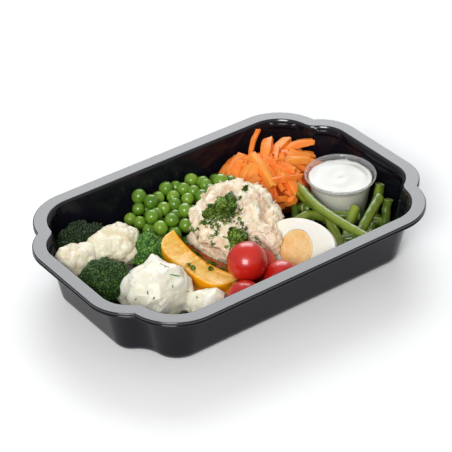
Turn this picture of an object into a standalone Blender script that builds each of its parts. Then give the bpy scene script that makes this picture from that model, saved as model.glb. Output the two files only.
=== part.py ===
"""Cold meal in a black plastic tray: tuna salad, vegetables, egg, fruit and a dip cup.

Every length in this file is in millimetres and turns into metres once, in add_piece.
X runs along the tray, Y across it and Z up from the underside of its floor.
"""
import math
import random

import bmesh
import bpy
from mathutils import Matrix, Vector
from mathutils.bvhtree import BVHTree

MM = 0.001

# Tray: outer half sizes, the arcs of its scalloped corners, and the sheet
TRAY_HALF_LENGTH = 120.0
TRAY_HALF_WIDTH = 78.4
TRAY_HEIGHT = 39.5
SHEET = 0.8
SIDE_LOBE_X = 73.7
SIDE_LOBE_RADIUS = 32.7
END_LOBE_Y = 26.3
END_LOBE_RADIUS = 28.1
CUSP_RADIUS = 1.35
LOBE_STEPS = 4
CUSP_STEPS = 3
# Upper face of the sheet from the lip to the floor: inset from the outline, depth below the rim
TRAY_PROFILE = (
    (0.5, 3.6), (0.0, 1.5), (0.0, 0.5), (0.5, 0.0), (8.1, 0.0), (8.9, 0.5),
    (10.6, 4.0), (16.0, 33.9), (17.3, 37.1), (19.3, TRAY_HEIGHT - SHEET),
)
# Room for the food: the same inner wall, drawn in by the space kept to it
WALL_SPACE = 0.45
FOOD_FLOOR = SHEET + 0.35
ROOM_TOP = 70.0

# Space kept between two pieces that touch
GAP = 0.6
# At a sharp edge a grown copy moves out further, up to this many times
MOST_STRETCH = 1.8

# Dip cup and sauce
CUP_X, CUP_Y = 85.5, -1.5
CUP_STEPS = 26
CUP_PROFILE = (
    (0.0, 2.2), (15.2, 2.2), (20.2, 30.0), (20.9, 31.4), (21.1, 32.5), (22.8, 32.5), (22.8, 31.3),
    (21.7, 31.2), (21.4, 29.3), (20.9, 28.8), (16.2, 2.4), (15.0, FOOD_FLOOR), (0.0, FOOD_FLOOR),
)
CUP_SPACE = ((0.0, 33.0), (23.3, 33.0), (23.3, 31.0), (22.1, 28.6), (16.6, FOOD_FLOOR), (15.9, 0.5), (0.0, 0.5))
SAUCE_PROFILE = ((0.0, 29.6), (11.0, 29.5), (19.7, 29.8), (14.85, 2.6), (0.0, 2.6))

# Tomatoes: centre and radius
TOMATOES = {
    "tomato_top": ((-16.4, -37.8, 29.0), 12.1),
    "tomato_behind": ((0.0, -29.5, 14.5), 10.4),
    "tomato_right": ((-0.8, -51.9, 17.5), 11.3),
    "tomato_left": ((-29.5, -53.3, 17.0), 11.1),
}

# Half an egg, its cut face turned to the left and leaning back
EGG_CENTRE = (20.7, -37.8, 22.0)
EGG_HALF_LENGTH = 28.0
EGG_RADIUS = 19.0
EGG_TAPER = 0.10
EGG_FACING = (-0.83, -0.12, 0.54)
EGG_ALONG = (0.34, -0.87, 0.33)
YOLK_RADIUS = 12.0

# Peach wedges: middle of the straight inner side, half length, reach of the skin, and
# the direction of the long side; the wedge opens downwards from its level upper face
PEACH_WEDGES = {
    "peach_wedge": dict(centre=(-25.2, -10.0, 24.8), half=27.0, reach=20.7, hollow=4.0,
                        along=(0.24, -0.935, -0.26), opening=83.0),
    "peach_slice_back": dict(centre=(-12.5, 0.0, 10.5), half=20.0, reach=13.0, hollow=2.0,
                             along=(0.25, -0.95, -0.05), opening=60.0),
    "peach_slice_front": dict(centre=(-33.0, -24.0, 11.5), half=14.0, reach=11.0, hollow=1.0,
                              along=(0.55, -0.83, 0.0), opening=70.0),
}

# Florets: centre, half sizes, number of clumps on the head, depth between clumps, seed
FLORETS = {
    "broccoli_side": dict(centre=(-48.0, 20.0, 17.5), half=(11.0, 10.5, 12.5), clumps=34, depth=0.13, seed=5),
    "cauliflower_right": dict(centre=(-64.0, 30.5, 23.0), half=(17.5, 15.0, 14.0), clumps=30, depth=0.14, seed=2),
    "cauliflower_left": dict(centre=(-95.0, 30.0, 23.5), half=(13.5, 12.5, 12.0), clumps=24, depth=0.14, seed=3),
    "broccoli_front": dict(centre=(-88.0, 7.5, 19.5), half=(17.0, 14.5, 14.0), clumps=46, depth=0.11, seed=4),
    "broccoli_back": dict(centre=(-75.0, 51.0, 17.0), half=(18.0, 14.0, 14.0), clumps=46, depth=0.11, seed=1),
}

# Salads: lumps of centre and half sizes, with relief cut into them
POTATO_LUMPS = (((-69.0, -18.5, 18.0), (25.0, 21.0, 21.0)), ((-47.0, -41.0, 12.0), (15.0, 12.5, 12.0)))
TUNA_LUMPS = (
    ((9.8, 8.6, 21.0), (31.0, 31.0, 26.0)),
    ((13.0, -20.0, 22.0), (10.5, 11.0, 13.0)),
)

# Parsley clumps: centre and half sizes
PARSLEY = {
    "parsley_top": ((-2.5, 2.5, 43.0), (10.5, 8.5, 5.5)),
    "parsley_front": ((-9.0, -19.0, 32.0), (8.5, 9.0, 5.5)),
}

# A heap's mound is a rounded box: centre, half sizes, the height of its foot and its rise
# Peas lie in two layers on theirs, with one large pea on top by the carrots
PEA_RADIUS = 4.9
PEA_MOUND = dict(centre=(-1.0, 49.0), half=(40.0, 29.0), foot=4.0, rise=21.0)
PEA_SPACING = 9.3
LAYER_DROP = 8.0
EDGE_SHARE = 0.75
TOP_PEA = (24.2, 42.1, 28.5)

# Carrot sticks: the ends of the largest, and the rest lie out from the top of the mound
CARROT_MOUND = dict(centre=(65.0, 43.0), half=(35.0, 26.0), foot=2.0, rise=28.0)
CARROT_WIDTH = 7.0
CARROT_DEPTH = 4.5
CARROT_STICKS = (
    ((57.0, 55.5, 30.0), (70.0, 63.0, 36.0)),
    ((34.0, 55.5, 20.0), (51.0, 60.0, 27.0)),
    ((35.0, 48.0, 22.0), (54.0, 59.5, 27.5)),
    ((31.5, 40.0, 22.0), (45.0, 50.0, 30.0)),
    ((36.5, 42.0, 22.0), (46.0, 40.0, 31.0)),
    ((54.0, 49.0, 33.5), (49.5, 23.0, 27.0)),
    ((70.0, 55.0, 34.0), (58.0, 41.0, 30.0)),
    ((85.5, 52.0, 31.5), (69.0, 44.0, 30.0)),
    ((80.0, 46.5, 28.5), (96.5, 40.0, 30.5)),
    ((72.0, 42.5, 29.5), (93.0, 35.0, 23.5)),
    ((68.0, 41.0, 29.5), (84.0, 29.5, 20.0)),
    ((56.5, 42.0, 31.5), (69.0, 25.0, 26.0)),
    ((49.5, 24.5, 26.0), (71.0, 23.0, 22.5)),
    ((47.5, 20.5, 14.0), (47.5, 9.0, 22.5)),
    ((51.5, 17.5, 12.0), (52.0, 5.0, 20.0)),
)
FILLING_STICKS = 13
FILLING_LENGTHS = (16.0, 26.0)

# Green beans: ends, and how far the middle stands off the line between them
BEAN_RADIUS = 2.7
LONG_BEAN = ((65.0, 15.5, 24.5), (60.0, -58.0, 24.5), (-6.0, 0.0, 1.0))
BEANS = (
    ((92.5, -31.5, 27.0), (54.5, -51.0, 16.5), (0.0, 0.0, 1.0)),
    ((78.0, -25.5, 22.5), (68.5, -28.0, 13.5), (0.0, 0.0, 0.5)),
    ((96.5, -35.5, 25.5), (91.0, -37.0, 11.0), (0.0, 0.0, 0.0)),
    ((84.0, -31.0, 13.5), (91.0, -37.5, 12.0), (0.0, 0.0, 0.5)),
    ((103.0, -19.5, 26.0), (98.5, -20.0, 9.0), (0.0, 0.0, 0.0)),
    ((66.0, -16.0, 17.0), (76.5, -26.0, 16.5), (-0.5, -0.5, 0.5)),
    ((42.5, -6.0, 12.5), (63.5, -14.0, 13.0), (1.0, 2.0, 4.0)),
    ((57.5, -3.5, 16.5), (63.5, 10.5, 9.5), (0.0, 0.0, 0.0)),
    ((54.0, 2.0, 5.5), (59.0, 12.5, 14.5), (0.0, 0.0, 0.0)),
    ((63.0, 11.0, 19.5), (60.5, -7.5, 20.5), (0.0, 0.0, 0.0)),
    ((60.5, -22.5, 19.0), (52.0, -42.5, 13.5), (0.0, 0.0, 0.5)),
    ((70.5, -28.5, 14.5), (57.5, -41.0, 10.5), (0.0, 0.0, 0.0)),
    ((49.0, -48.0, 9.5), (80.0, -46.0, 10.5), (0.0, 0.0, 2.0)),
)
BEAN_BED = dict(centre=(68.0, -27.0), half=(31.0, 32.0), foot=1.0, rise=12.5)


def clear_scene():
    """Remove every object and the collections of an earlier run."""
    for piece in list(bpy.data.objects):
        bpy.data.objects.remove(piece, do_unlink=True)
    for collection in list(bpy.data.collections):
        bpy.data.collections.remove(collection)


def new_collection(name):
    """Make a collection in the scene."""
    collection = bpy.data.collections.new(name)
    bpy.context.scene.collection.children.link(collection)
    return collection


def make_material(name, colour, roughness, transmission=0.0):
    """Make a plain Principled material."""
    material = bpy.data.materials.new(name)
    material.use_nodes = True
    shader = material.node_tree.nodes["Principled BSDF"]
    shader.inputs["Base Color"].default_value = (*colour, 1.0)
    shader.inputs["Roughness"].default_value = roughness
    shader.inputs["Transmission Weight"].default_value = transmission
    material.diffuse_color = (*colour, 1.0)
    return material


def add_piece(name, bm, material, collection):
    """Turn a bmesh in millimetres into an object in metres."""
    bmesh.ops.scale(bm, vec=(MM, MM, MM), verts=bm.verts)
    bmesh.ops.recalc_face_normals(bm, faces=bm.faces)
    mesh = bpy.data.meshes.new(name)
    bm.to_mesh(mesh)
    bm.free()
    mesh.shade_smooth()
    mesh.set_sharp_from_angle(angle=math.radians(40.0))
    mesh.materials.append(material)
    piece = bpy.data.objects.new(name, mesh)
    collection.objects.link(piece)
    return piece


def bake(piece):
    """Apply an object's modifiers to its mesh."""
    graph = bpy.context.evaluated_depsgraph_get()
    mesh = bpy.data.meshes.new_from_object(piece.evaluated_get(graph))
    old = piece.data
    piece.modifiers.clear()
    piece.data = mesh
    mesh.name = piece.name
    bpy.data.meshes.remove(old)


def combine(piece, operation, other=None, collection=None, solver="EXACT"):
    """Apply one Boolean of another piece, or of a whole collection, to a piece."""
    modifier = piece.modifiers.new("Combine", "BOOLEAN")
    modifier.operation = operation
    modifier.solver = solver
    if collection is None:
        modifier.object = other
    else:
        modifier.operand_type = "COLLECTION"
        modifier.collection = collection
    bake(piece)


def largest_part(piece):
    """Keep only the largest separate part of a mesh, and close up points that coincide."""
    bm = bmesh.new()
    bm.from_mesh(piece.data)
    bmesh.ops.remove_doubles(bm, verts=bm.verts, dist=0.00001)
    seen = set()
    parts = []
    for start in bm.faces:
        if start in seen:
            continue
        seen.add(start)
        stack = [start]
        part = []
        while stack:
            face = stack.pop()
            part.append(face)
            neighbours = [other for edge in face.edges if len(edge.link_faces) == 2
                          for other in edge.link_faces if other not in seen]
            for other in neighbours:
                if other not in seen:
                    seen.add(other)
                    stack.append(other)
        parts.append(part)
    parts.sort(key=len, reverse=True)
    loose = [face for part in parts[1:] for face in part]
    bmesh.ops.delete(bm, geom=loose, context="FACES")
    bm.to_mesh(piece.data)
    bm.free()


def as_cutter(piece):
    """Mark an object as one that only cuts others."""
    piece.hide_render = True
    piece.display_type = "WIRE"
    return piece


def grown(piece, collection, space=GAP):
    """Make a cutter: a copy of a piece with its surface moved out by a space."""
    cutter = piece.copy()
    cutter.data = piece.data.copy()
    cutter.name = piece.name + "_cutter"
    bm = bmesh.new()
    bm.from_mesh(cutter.data)
    bm.normal_update()
    moves = [(vert, vert.normal * min(vert.calc_shell_factor(), MOST_STRETCH)) for vert in bm.verts]
    for vert, move in moves:
        vert.co += move * space * MM
    bm.to_mesh(cutter.data)
    bm.free()
    collection.objects.link(cutter)
    return as_cutter(cutter)


def near(piece, other):
    """Tell whether two objects' boxes meet."""
    boxes = []
    for item in (piece, other):
        corners = [vert.co for vert in item.data.vertices]
        boxes.append([(min(c[axis] for c in corners), max(c[axis] for c in corners)) for axis in range(3)])
    return all(a[0] < b[1] and b[0] < a[1] for a, b in zip(*boxes))


def fit(piece, room, cutters):
    """Cut a piece to the room inside the tray and to the pieces it touches."""
    combine(piece, "INTERSECT", room)
    for cutter in cutters:
        if near(piece, cutter):
            combine(piece, "DIFFERENCE", cutter, solver="MANIFOLD")
    largest_part(piece)


def settle(piece, room, cutters, collection):
    """Fit a piece among those made before it, and let it cut the ones that follow."""
    space = grown(piece, collection)
    fit(piece, room, cutters)
    cutters.append(space)


def tree_of(piece):
    """Search tree of a mesh, to test what it touches."""
    return BVHTree.FromPolygons([vert.co.copy() for vert in piece.data.vertices],
                                [tuple(face.vertices) for face in piece.data.polygons])


def is_inside(tree, point):
    """Tell whether a point lies inside a closed mesh, by counting the walls above it."""
    direction = Vector((0.013, 0.017, 1.0)).normalized()
    crossings = 0
    place, _, _, _ = tree.ray_cast(point, direction)
    while place is not None:
        crossings += 1
        place, _, _, _ = tree.ray_cast(place + direction * 0.00001, direction)
    return crossings % 2 == 1


def is_clear(bm, trees, room_tree):
    """Tell whether a small mesh in millimetres touches no neighbour and stays in the room."""
    points = [vert.co * MM for vert in bm.verts]
    own = BVHTree.FromPolygons(points, [tuple(vert.index for vert in face.verts) for face in bm.faces])
    if own.overlap(room_tree):
        return False
    centre = sum(points, Vector()) / len(points)
    if not is_inside(room_tree, centre):
        return False
    return not any(own.overlap(tree) or is_inside(tree, centre) for tree in trees)


def arc(centre, radius, start, end, steps):
    """Points along an arc in the plane."""
    angles = [start + (end - start) * step / steps for step in range(steps + 1)]
    return [(centre[0] + radius * math.cos(a), centre[1] + radius * math.sin(a)) for a in angles]


def tray_ring(inset):
    """The tray's outline, drawn in by an inset: two lobes at each corner with a cusp between."""
    side = Vector((SIDE_LOBE_X, TRAY_HALF_WIDTH - SIDE_LOBE_RADIUS))
    end = Vector((TRAY_HALF_LENGTH - END_LOBE_RADIUS, END_LOBE_Y))
    span = end - side
    reach_side = SIDE_LOBE_RADIUS + CUSP_RADIUS
    reach_end = END_LOBE_RADIUS + CUSP_RADIUS
    along = (reach_side ** 2 - reach_end ** 2 + span.length ** 2) / (2.0 * span.length)
    off = math.sqrt(reach_side ** 2 - along ** 2)
    unit = span.normalized()
    cusp = side + unit * along + Vector((-unit.y, unit.x)) * off
    to_side = math.atan2(cusp.y - side.y, cusp.x - side.x)
    to_end = math.atan2(cusp.y - end.y, cusp.x - end.x)
    quarter = arc(end, END_LOBE_RADIUS - inset, 0.0, to_end, LOBE_STEPS)
    quarter += arc(cusp, CUSP_RADIUS + inset, to_end + math.pi, to_side + math.pi, CUSP_STEPS)[1:]
    quarter += arc(side, SIDE_LOBE_RADIUS - inset, to_side, math.pi / 2.0, LOBE_STEPS)[1:]
    points = list(quarter)
    points += [(-x, y) for x, y in reversed(quarter)]
    points += [(-x, -y) for x, y in quarter]
    points += [(x, -y) for x, y in reversed(quarter)]
    return points


def loft(bm, rings, cap_start=False, cap_end=False):
    """Join rings of equal length with quads, and close the ends that are asked for."""
    rows = [[bm.verts.new(point) for point in ring] for ring in rings]
    count = len(rows[0])
    for lower, upper in zip(rows, rows[1:]):
        for index in range(count):
            after = (index + 1) % count
            bm.faces.new((lower[index], lower[after], upper[after], upper[index]))
    if cap_start:
        bm.faces.new(rows[0])
    if cap_end:
        bm.faces.new(rows[-1])


def make_tray(collection, material):
    """The tray is one formed sheet: lip, flat flange, drafted wall, step and floor."""
    bm = bmesh.new()
    rings = [[(x, y, TRAY_HEIGHT - depth) for x, y in tray_ring(inset)] for inset, depth in TRAY_PROFILE]
    loft(bm, rings, cap_end=True)
    tray = add_piece("tray", bm, material, collection)
    floor = max(tray.data.polygons, key=lambda face: len(face.vertices))
    if floor.normal.z < 0.0:
        tray.data.flip_normals()
    sheet = tray.modifiers.new("Sheet", "SOLIDIFY")
    sheet.thickness = SHEET * MM
    sheet.offset = -1.0
    sheet.use_even_offset = True
    bake(tray)
    return tray


def make_room(collection, material):
    """The space that food may fill: the inner wall drawn in, open upwards to well above the rim."""
    bm = bmesh.new()
    rings = []
    for inset, depth in TRAY_PROFILE[-1:5:-1]:
        height = max(TRAY_HEIGHT - depth + 0.1, FOOD_FLOOR)
        rings.append([(x, y, height) for x, y in tray_ring(inset + WALL_SPACE)])
    rings.append([(x, y, ROOM_TOP) for x, y in tray_ring(TRAY_PROFILE[6][0] + WALL_SPACE)])
    loft(bm, rings, cap_start=True, cap_end=True)
    return as_cutter(add_piece("room", bm, material, collection))


def turned(name, profile, steps, material, collection):
    """Turn a profile about the cup's axis; it runs down on its outer side."""
    bm = bmesh.new()
    verts = [bm.verts.new((radius * MM, 0.0, height * MM)) for radius, height in profile]
    for first, second in zip(verts, verts[1:]):
        bm.edges.new((first, second))
    mesh = bpy.data.meshes.new(name)
    bm.to_mesh(mesh)
    bm.free()
    mesh.materials.append(material)
    piece = bpy.data.objects.new(name, mesh)
    collection.objects.link(piece)
    screw = piece.modifiers.new("Turn", "SCREW")
    screw.steps = steps
    screw.render_steps = steps
    screw.use_merge_vertices = True
    screw.merge_threshold = 0.00005
    screw.use_normal_calculate = False
    bake(piece)
    piece.data.transform(Matrix.Translation((CUP_X * MM, CUP_Y * MM, 0.0)))
    bm = bmesh.new()
    bm.from_mesh(piece.data)
    bmesh.ops.remove_doubles(bm, verts=bm.verts, dist=0.00001)
    bmesh.ops.recalc_face_normals(bm, faces=bm.faces)
    bm.to_mesh(piece.data)
    bm.free()
    piece.data.shade_smooth()
    piece.data.set_sharp_from_angle(angle=math.radians(40.0))
    return piece


def make_tomatoes(collection, material):
    """Cherry tomatoes, round and barely longer than wide."""
    pieces = []
    for name, (centre, radius) in TOMATOES.items():
        bm = bmesh.new()
        bmesh.ops.create_uvsphere(bm, u_segments=15, v_segments=9, radius=radius)
        bmesh.ops.translate(bm, vec=centre, verts=bm.verts)
        pieces.append(add_piece(name, bm, material, collection))
    return pieces


def cut_flat(bm):
    """Keep the half of a closed mesh below z = 0 and close it with a flat face."""
    geometry = bm.verts[:] + bm.edges[:] + bm.faces[:]
    result = bmesh.ops.bisect_plane(bm, geom=geometry, plane_co=(0, 0, 0), plane_no=(0, 0, 1),
                                    dist=0.001, clear_outer=True)
    edges = [item for item in result["geom_cut"] if isinstance(item, bmesh.types.BMEdge)]
    bmesh.ops.edgeloop_fill(bm, edges=edges)


def make_egg(collection, cutters, white_material, yolk_material):
    """Half a boiled egg: the white with a round hollow, and the half yolk that fills it."""
    facing = Vector(EGG_FACING).normalized()
    along = Vector(EGG_ALONG)
    along = (along - facing * along.dot(facing)).normalized()
    across = facing.cross(along)
    turn = Matrix((along, across, facing)).transposed().to_4x4()
    place = Matrix.Translation(EGG_CENTRE) @ turn

    bm = bmesh.new()
    bmesh.ops.create_uvsphere(bm, u_segments=20, v_segments=12, radius=1.0)
    bmesh.ops.rotate(bm, matrix=Matrix.Rotation(math.radians(9.0), 3, "Z"), verts=bm.verts)
    for vert in bm.verts:
        width = EGG_RADIUS * (1.0 - EGG_TAPER * vert.co.x)
        vert.co = Vector((vert.co.x * EGG_HALF_LENGTH, vert.co.y * width, vert.co.z * width))
    cut_flat(bm)
    bmesh.ops.transform(bm, matrix=place, verts=bm.verts)
    white = add_piece("egg_white", bm, white_material, collection)

    bm = bmesh.new()
    bmesh.ops.create_uvsphere(bm, u_segments=18, v_segments=10, radius=YOLK_RADIUS)
    cut_flat(bm)
    bmesh.ops.transform(bm, matrix=place, verts=bm.verts)
    yolk = add_piece("egg_yolk", bm, yolk_material, collection)

    hollow = grown(yolk, cutters)
    hollow.data.transform(Matrix.Translation(facing * GAP * MM))
    combine(white, "DIFFERENCE", hollow)
    largest_part(white)
    bpy.data.objects.remove(hollow)
    return white, yolk


def make_peach(name, shape, material, collection):
    """A wedge of peach: level cut face above, round skin outside, a shallow hollow inside."""
    stations = 9
    skin_steps = 5
    along = Vector(shape["along"]).normalized()
    outward = Vector((0.0, 0.0, 1.0)).cross(along).normalized()
    if outward.x > 0.0:
        outward = -outward
    down = -Vector((0.0, 0.0, 1.0))
    down = (down - along * down.dot(along)).normalized()
    opening = math.radians(shape["opening"])
    rings = []
    for station in range(stations + 1):
        share = -1.0 + 2.0 * station / stations
        bow = math.sqrt(max(0.0, 1.0 - (abs(share) * 0.985) ** 3.0))
        reach = shape["reach"] * (0.18 + 0.82 * bow)
        hollow = shape["hollow"] * (1.0 - share ** 2)
        base = Vector(shape["centre"]) + along * share * shape["half"]
        ring = [base + (outward * math.cos(opening / 2) + down * math.sin(opening / 2)) * hollow]
        for step in range(skin_steps + 1):
            angle = opening * step / skin_steps
            ring.append(base + (outward * math.cos(angle) + down * math.sin(angle)) * reach)
        rings.append(ring)
    bm = bmesh.new()
    loft(bm, rings, cap_start=True, cap_end=True)
    return add_piece(name, bm, material, collection)


def spread_directions(count, seed, jitter=0.25):
    """Directions spread evenly over a sphere, each shifted a little at random."""
    rng = random.Random(seed)
    golden = math.pi * (3.0 - math.sqrt(5.0))
    directions = []
    for index in range(count):
        z = 1.0 - 2.0 * (index + 0.5) / count
        radius = math.sqrt(1.0 - z * z)
        shift = Vector([rng.uniform(-jitter, jitter) for _ in range(3)])
        directions.append((Vector((radius * math.cos(golden * index), radius * math.sin(golden * index), z))
                           + shift).normalized())
    return directions


def clump_relief(direction, clumps, spread, depth):
    """Share of the full radius left at a direction: domes about each clump, valleys between."""
    closest = max(direction.dot(clump) for clump in clumps)
    angle = math.acos(min(1.0, closest)) / spread
    return 1.0 - depth + depth * math.sqrt(max(0.0, 1.0 - angle * angle))


def mound_height(mound, x, y):
    """Height of a mound over a point, or None beside it."""
    u = abs((x - mound["centre"][0]) / mound["half"][0])
    v = abs((y - mound["centre"][1]) / mound["half"][1])
    inside = 1.0 - u ** 3 - v ** 3
    if inside <= 0.0:
        return None
    return mound["foot"] + mound["rise"] * inside ** (1.0 / 3.0)


def make_core(name, mound, sink, material, collection):
    """The core of a heap: its mound as a closed rounded box, sunk by a depth on every side."""
    bm = bmesh.new()
    bmesh.ops.create_uvsphere(bm, u_segments=14, v_segments=8, radius=1.0)
    for vert in bm.verts:
        x, y, z = vert.co.normalized()
        reach = (abs(x) ** 3 + abs(y) ** 3 + abs(z) ** 3) ** (-1.0 / 3.0)
        vert.co = Vector((
            mound["centre"][0] + x * reach * (mound["half"][0] - sink),
            mound["centre"][1] + y * reach * (mound["half"][1] - sink),
            mound["foot"] + z * reach * (mound["rise"] - sink),
        ))
    return add_piece(name, bm, material, collection)


def make_floret(name, shape, material, collection):
    """A floret: a head of rounded clumps on a stalk that stands on the tray's floor."""
    clumps = spread_directions(shape["clumps"], shape["seed"])
    spread = 2.3 / math.sqrt(shape["clumps"])
    half = shape["half"]
    centre = Vector(shape["centre"])
    stalk_width = 0.45
    bm = bmesh.new()
    bmesh.ops.create_uvsphere(bm, u_segments=18, v_segments=10, radius=1.0)
    for vert in bm.verts:
        direction = vert.co.normalized()
        reach = clump_relief(direction, clumps, spread, shape["depth"])
        point = Vector((direction.x * half[0], direction.y * half[1], direction.z * half[2])) * reach
        if direction.z < -0.35:
            narrowing = min(1.0, (-0.35 - direction.z) / 0.3)
            width = 1.0 - (1.0 - stalk_width) * narrowing
            point.x *= width
            point.y *= width
            point.z -= narrowing * max(0.0, centre.z - half[2] - FOOD_FLOOR + 2.0)
        vert.co = centre + point
    return add_piece(name, bm, material, collection)


def make_lumps(name, lumps, dents, depth, seed, peak, material, collection, cutters):
    """A scooped salad: rounded lumps joined into one, their relief cut into them."""
    joined = []
    for number, (centre, half) in enumerate(lumps):
        hollows = spread_directions(dents, seed + number)
        spread = 2.2 / math.sqrt(dents)
        bm = bmesh.new()
        bmesh.ops.create_uvsphere(bm, u_segments=16, v_segments=10, radius=1.0)
        for vert in bm.verts:
            direction = vert.co.normalized()
            reach = 2.0 - depth - clump_relief(direction, hollows, spread, depth)
            if number == 0 and peak is not None:
                reach += peak[1] * math.exp(-((direction - Vector(peak[0]).normalized()).length / peak[2]) ** 2)
            vert.co = Vector(centre) + Vector([direction[axis] * half[axis] for axis in range(3)]) * reach
        joined.append(add_piece(name if number == 0 else name + "_lump", bm, material,
                                collection if number == 0 else cutters))
    for other in joined[1:]:
        combine(joined[0], "UNION", other)
        bpy.data.objects.remove(other)
    return joined[0]


def make_parsley(name, centre, half, material, collection, seed):
    """A clump of curly parsley: a low cushion of small frilled tufts."""
    clumps = spread_directions(26, seed, 0.3)
    bm = bmesh.new()
    bmesh.ops.create_uvsphere(bm, u_segments=16, v_segments=9, radius=1.0)
    for vert in bm.verts:
        direction = vert.co.normalized()
        reach = clump_relief(direction, clumps, 0.45, 0.28)
        vert.co = Vector(centre) + Vector([direction[axis] * half[axis] for axis in range(3)]) * reach
    return add_piece(name, bm, material, collection)


def join_heap(core, parts):
    """Fuse the pieces of a heap to its core with one Boolean and remove the loose copies."""
    combine(core, "UNION", collection=parts, solver="MANIFOLD")
    for piece in list(parts.objects):
        bpy.data.objects.remove(piece)
    bpy.data.collections.remove(parts)
    largest_part(core)
    core.data.shade_smooth()
    core.data.set_sharp_from_angle(angle=math.radians(50.0))


def make_peas(trees, room, room_tree, blockers, material, collection):
    """A heap of peas: a low core, and whole peas in two layers over it."""
    core = make_core("peas", PEA_MOUND, 3.5, material, collection)
    fit(core, room, blockers)
    parts = new_collection("peas_parts")
    rng = random.Random(11)
    row_step = PEA_SPACING * math.sqrt(0.75)
    rows = int(PEA_MOUND["half"][1] / row_step) + 1
    columns = int(PEA_MOUND["half"][0] / PEA_SPACING) + 1
    for row in range(-rows, rows + 1):
        for column in range(-columns, columns + 1):
            shift = 0.5 * PEA_SPACING if row % 2 else 0.0
            x = PEA_MOUND["centre"][0] + column * PEA_SPACING + shift + rng.uniform(-1.3, 1.3)
            y = PEA_MOUND["centre"][1] + row * row_step + rng.uniform(-1.3, 1.3)
            lift = rng.uniform(-1.6, 1.2)
            radius = PEA_RADIUS * rng.uniform(0.92, 1.03)
            top = mound_height(PEA_MOUND, x, y)
            if top is None:
                continue
            heights = [top + lift]
            if top < PEA_MOUND["foot"] + EDGE_SHARE * PEA_MOUND["rise"]:
                heights.append(top + lift - LAYER_DROP)
            for height in heights:
                if height >= FOOD_FLOOR + radius:
                    add_pea((x, y, height), radius, trees, room_tree, material, parts)
    add_pea(TOP_PEA, PEA_RADIUS * 1.08, trees, room_tree, material, parts)
    join_heap(core, parts)
    return core


def add_pea(place, radius, trees, room_tree, material, parts):
    """Add one pea of few faces if nothing is in its way."""
    bm = bmesh.new()
    bmesh.ops.create_uvsphere(bm, u_segments=6, v_segments=4, radius=radius)
    bmesh.ops.translate(bm, vec=place, verts=bm.verts)
    bm.verts.index_update()
    if is_clear(bm, trees, room_tree):
        add_piece("pea", bm, material, parts)
    else:
        bm.free()


def make_stick(start, end, width, depth, twist):
    """A cut stick with a square section, slightly bowed, as a bmesh."""
    start, end = Vector(start), Vector(end)
    along = (end - start).normalized()
    side = along.cross(Vector((0.0, 0.0, 1.0))).normalized()
    up = side.cross(along)
    side, up = (side * math.cos(twist) + up * math.sin(twist), up * math.cos(twist) - side * math.sin(twist))
    rings = []
    for share, bow, thin in ((0.0, 0.0, 0.85), (0.5, 0.7, 1.0), (1.0, 0.0, 0.75)):
        middle = start.lerp(end, share) + up * bow
        rings.append([middle + side * (a * width * thin / 2) + up * (b * depth * thin / 2)
                      for a, b in ((-1, -1), (1, -1), (1, 1), (-1, 1))])
    bm = bmesh.new()
    loft(bm, rings, cap_start=True, cap_end=True)
    return bm


def make_carrots(trees, room, room_tree, blockers, material, collection):
    """A heap of carrot sticks: the large ones, and others that lie out from the top."""
    core = make_core("carrots", CARROT_MOUND, 3.0, material, collection)
    fit(core, room, blockers)
    parts = new_collection("carrots_parts")
    rng = random.Random(7)
    sticks = [(Vector(start), Vector(end)) for start, end in CARROT_STICKS]
    golden = math.pi * (3.0 - math.sqrt(5.0))
    centre, half = CARROT_MOUND["centre"], CARROT_MOUND["half"]
    for index in range(FILLING_STICKS):
        share = 0.9 * math.sqrt((index + 0.5) / FILLING_STICKS)
        angle = golden * index
        heading = angle + rng.uniform(-0.5, 0.5)
        x = centre[0] + half[0] * share * math.cos(angle)
        y = centre[1] + half[1] * share * math.sin(angle)
        z = mound_height(CARROT_MOUND, x, y)
        slope = -0.9 * share + rng.uniform(-0.1, 0.2)
        along = Vector((math.cos(heading), math.sin(heading), slope)).normalized()
        along *= rng.uniform(*FILLING_LENGTHS) / 2.0
        sticks.append((Vector((x, y, z)) - along, Vector((x, y, z)) + along))
    for start, end in sticks:
        middle = (start + end) / 2.0
        twist = rng.uniform(-0.5, 0.5)
        for share in (1.0, 0.8, 0.64):
            bm = make_stick(middle.lerp(start, share), middle.lerp(end, share), CARROT_WIDTH, CARROT_DEPTH, twist)
            bm.verts.index_update()
            if is_clear(bm, trees, room_tree):
                add_piece("stick", bm, material, parts)
                break
            bm.free()
    join_heap(core, parts)
    return core


def make_bean(start, end, bow, radius):
    """A bean: a bowed tube of few sides with blunt ends, as a bmesh."""
    start, end, bow = Vector(start), Vector(end), Vector(bow)
    rings = []
    stations = 7 if (end - start).length > 50.0 else 4
    sides = 7
    for station in range(stations + 1):
        share = station / stations
        middle = start.lerp(end, share) + bow * math.sin(math.pi * share)
        along = (end - start + bow * math.pi * math.cos(math.pi * share)).normalized()
        side = along.cross(Vector((0.0, 0.0, 1.0))).normalized()
        up = side.cross(along)
        size = radius * (0.86 if station in (0, stations) else 1.0)
        rings.append([middle + (side * math.cos(a) + up * math.sin(a)) * size
                      for a in [2.0 * math.pi * step / sides for step in range(sides)]])
    bm = bmesh.new()
    loft(bm, rings, cap_start=True, cap_end=True)
    return bm


def bean_tree(start, end, bow):
    """Search tree of the space that a bean needs."""
    bm = make_bean(start, end, bow, BEAN_RADIUS + GAP)
    bm.verts.index_update()
    tree = BVHTree.FromPolygons([vert.co * MM for vert in bm.verts],
                                [tuple(vert.index for vert in face.verts) for face in bm.faces])
    bm.free()
    return tree


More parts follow.
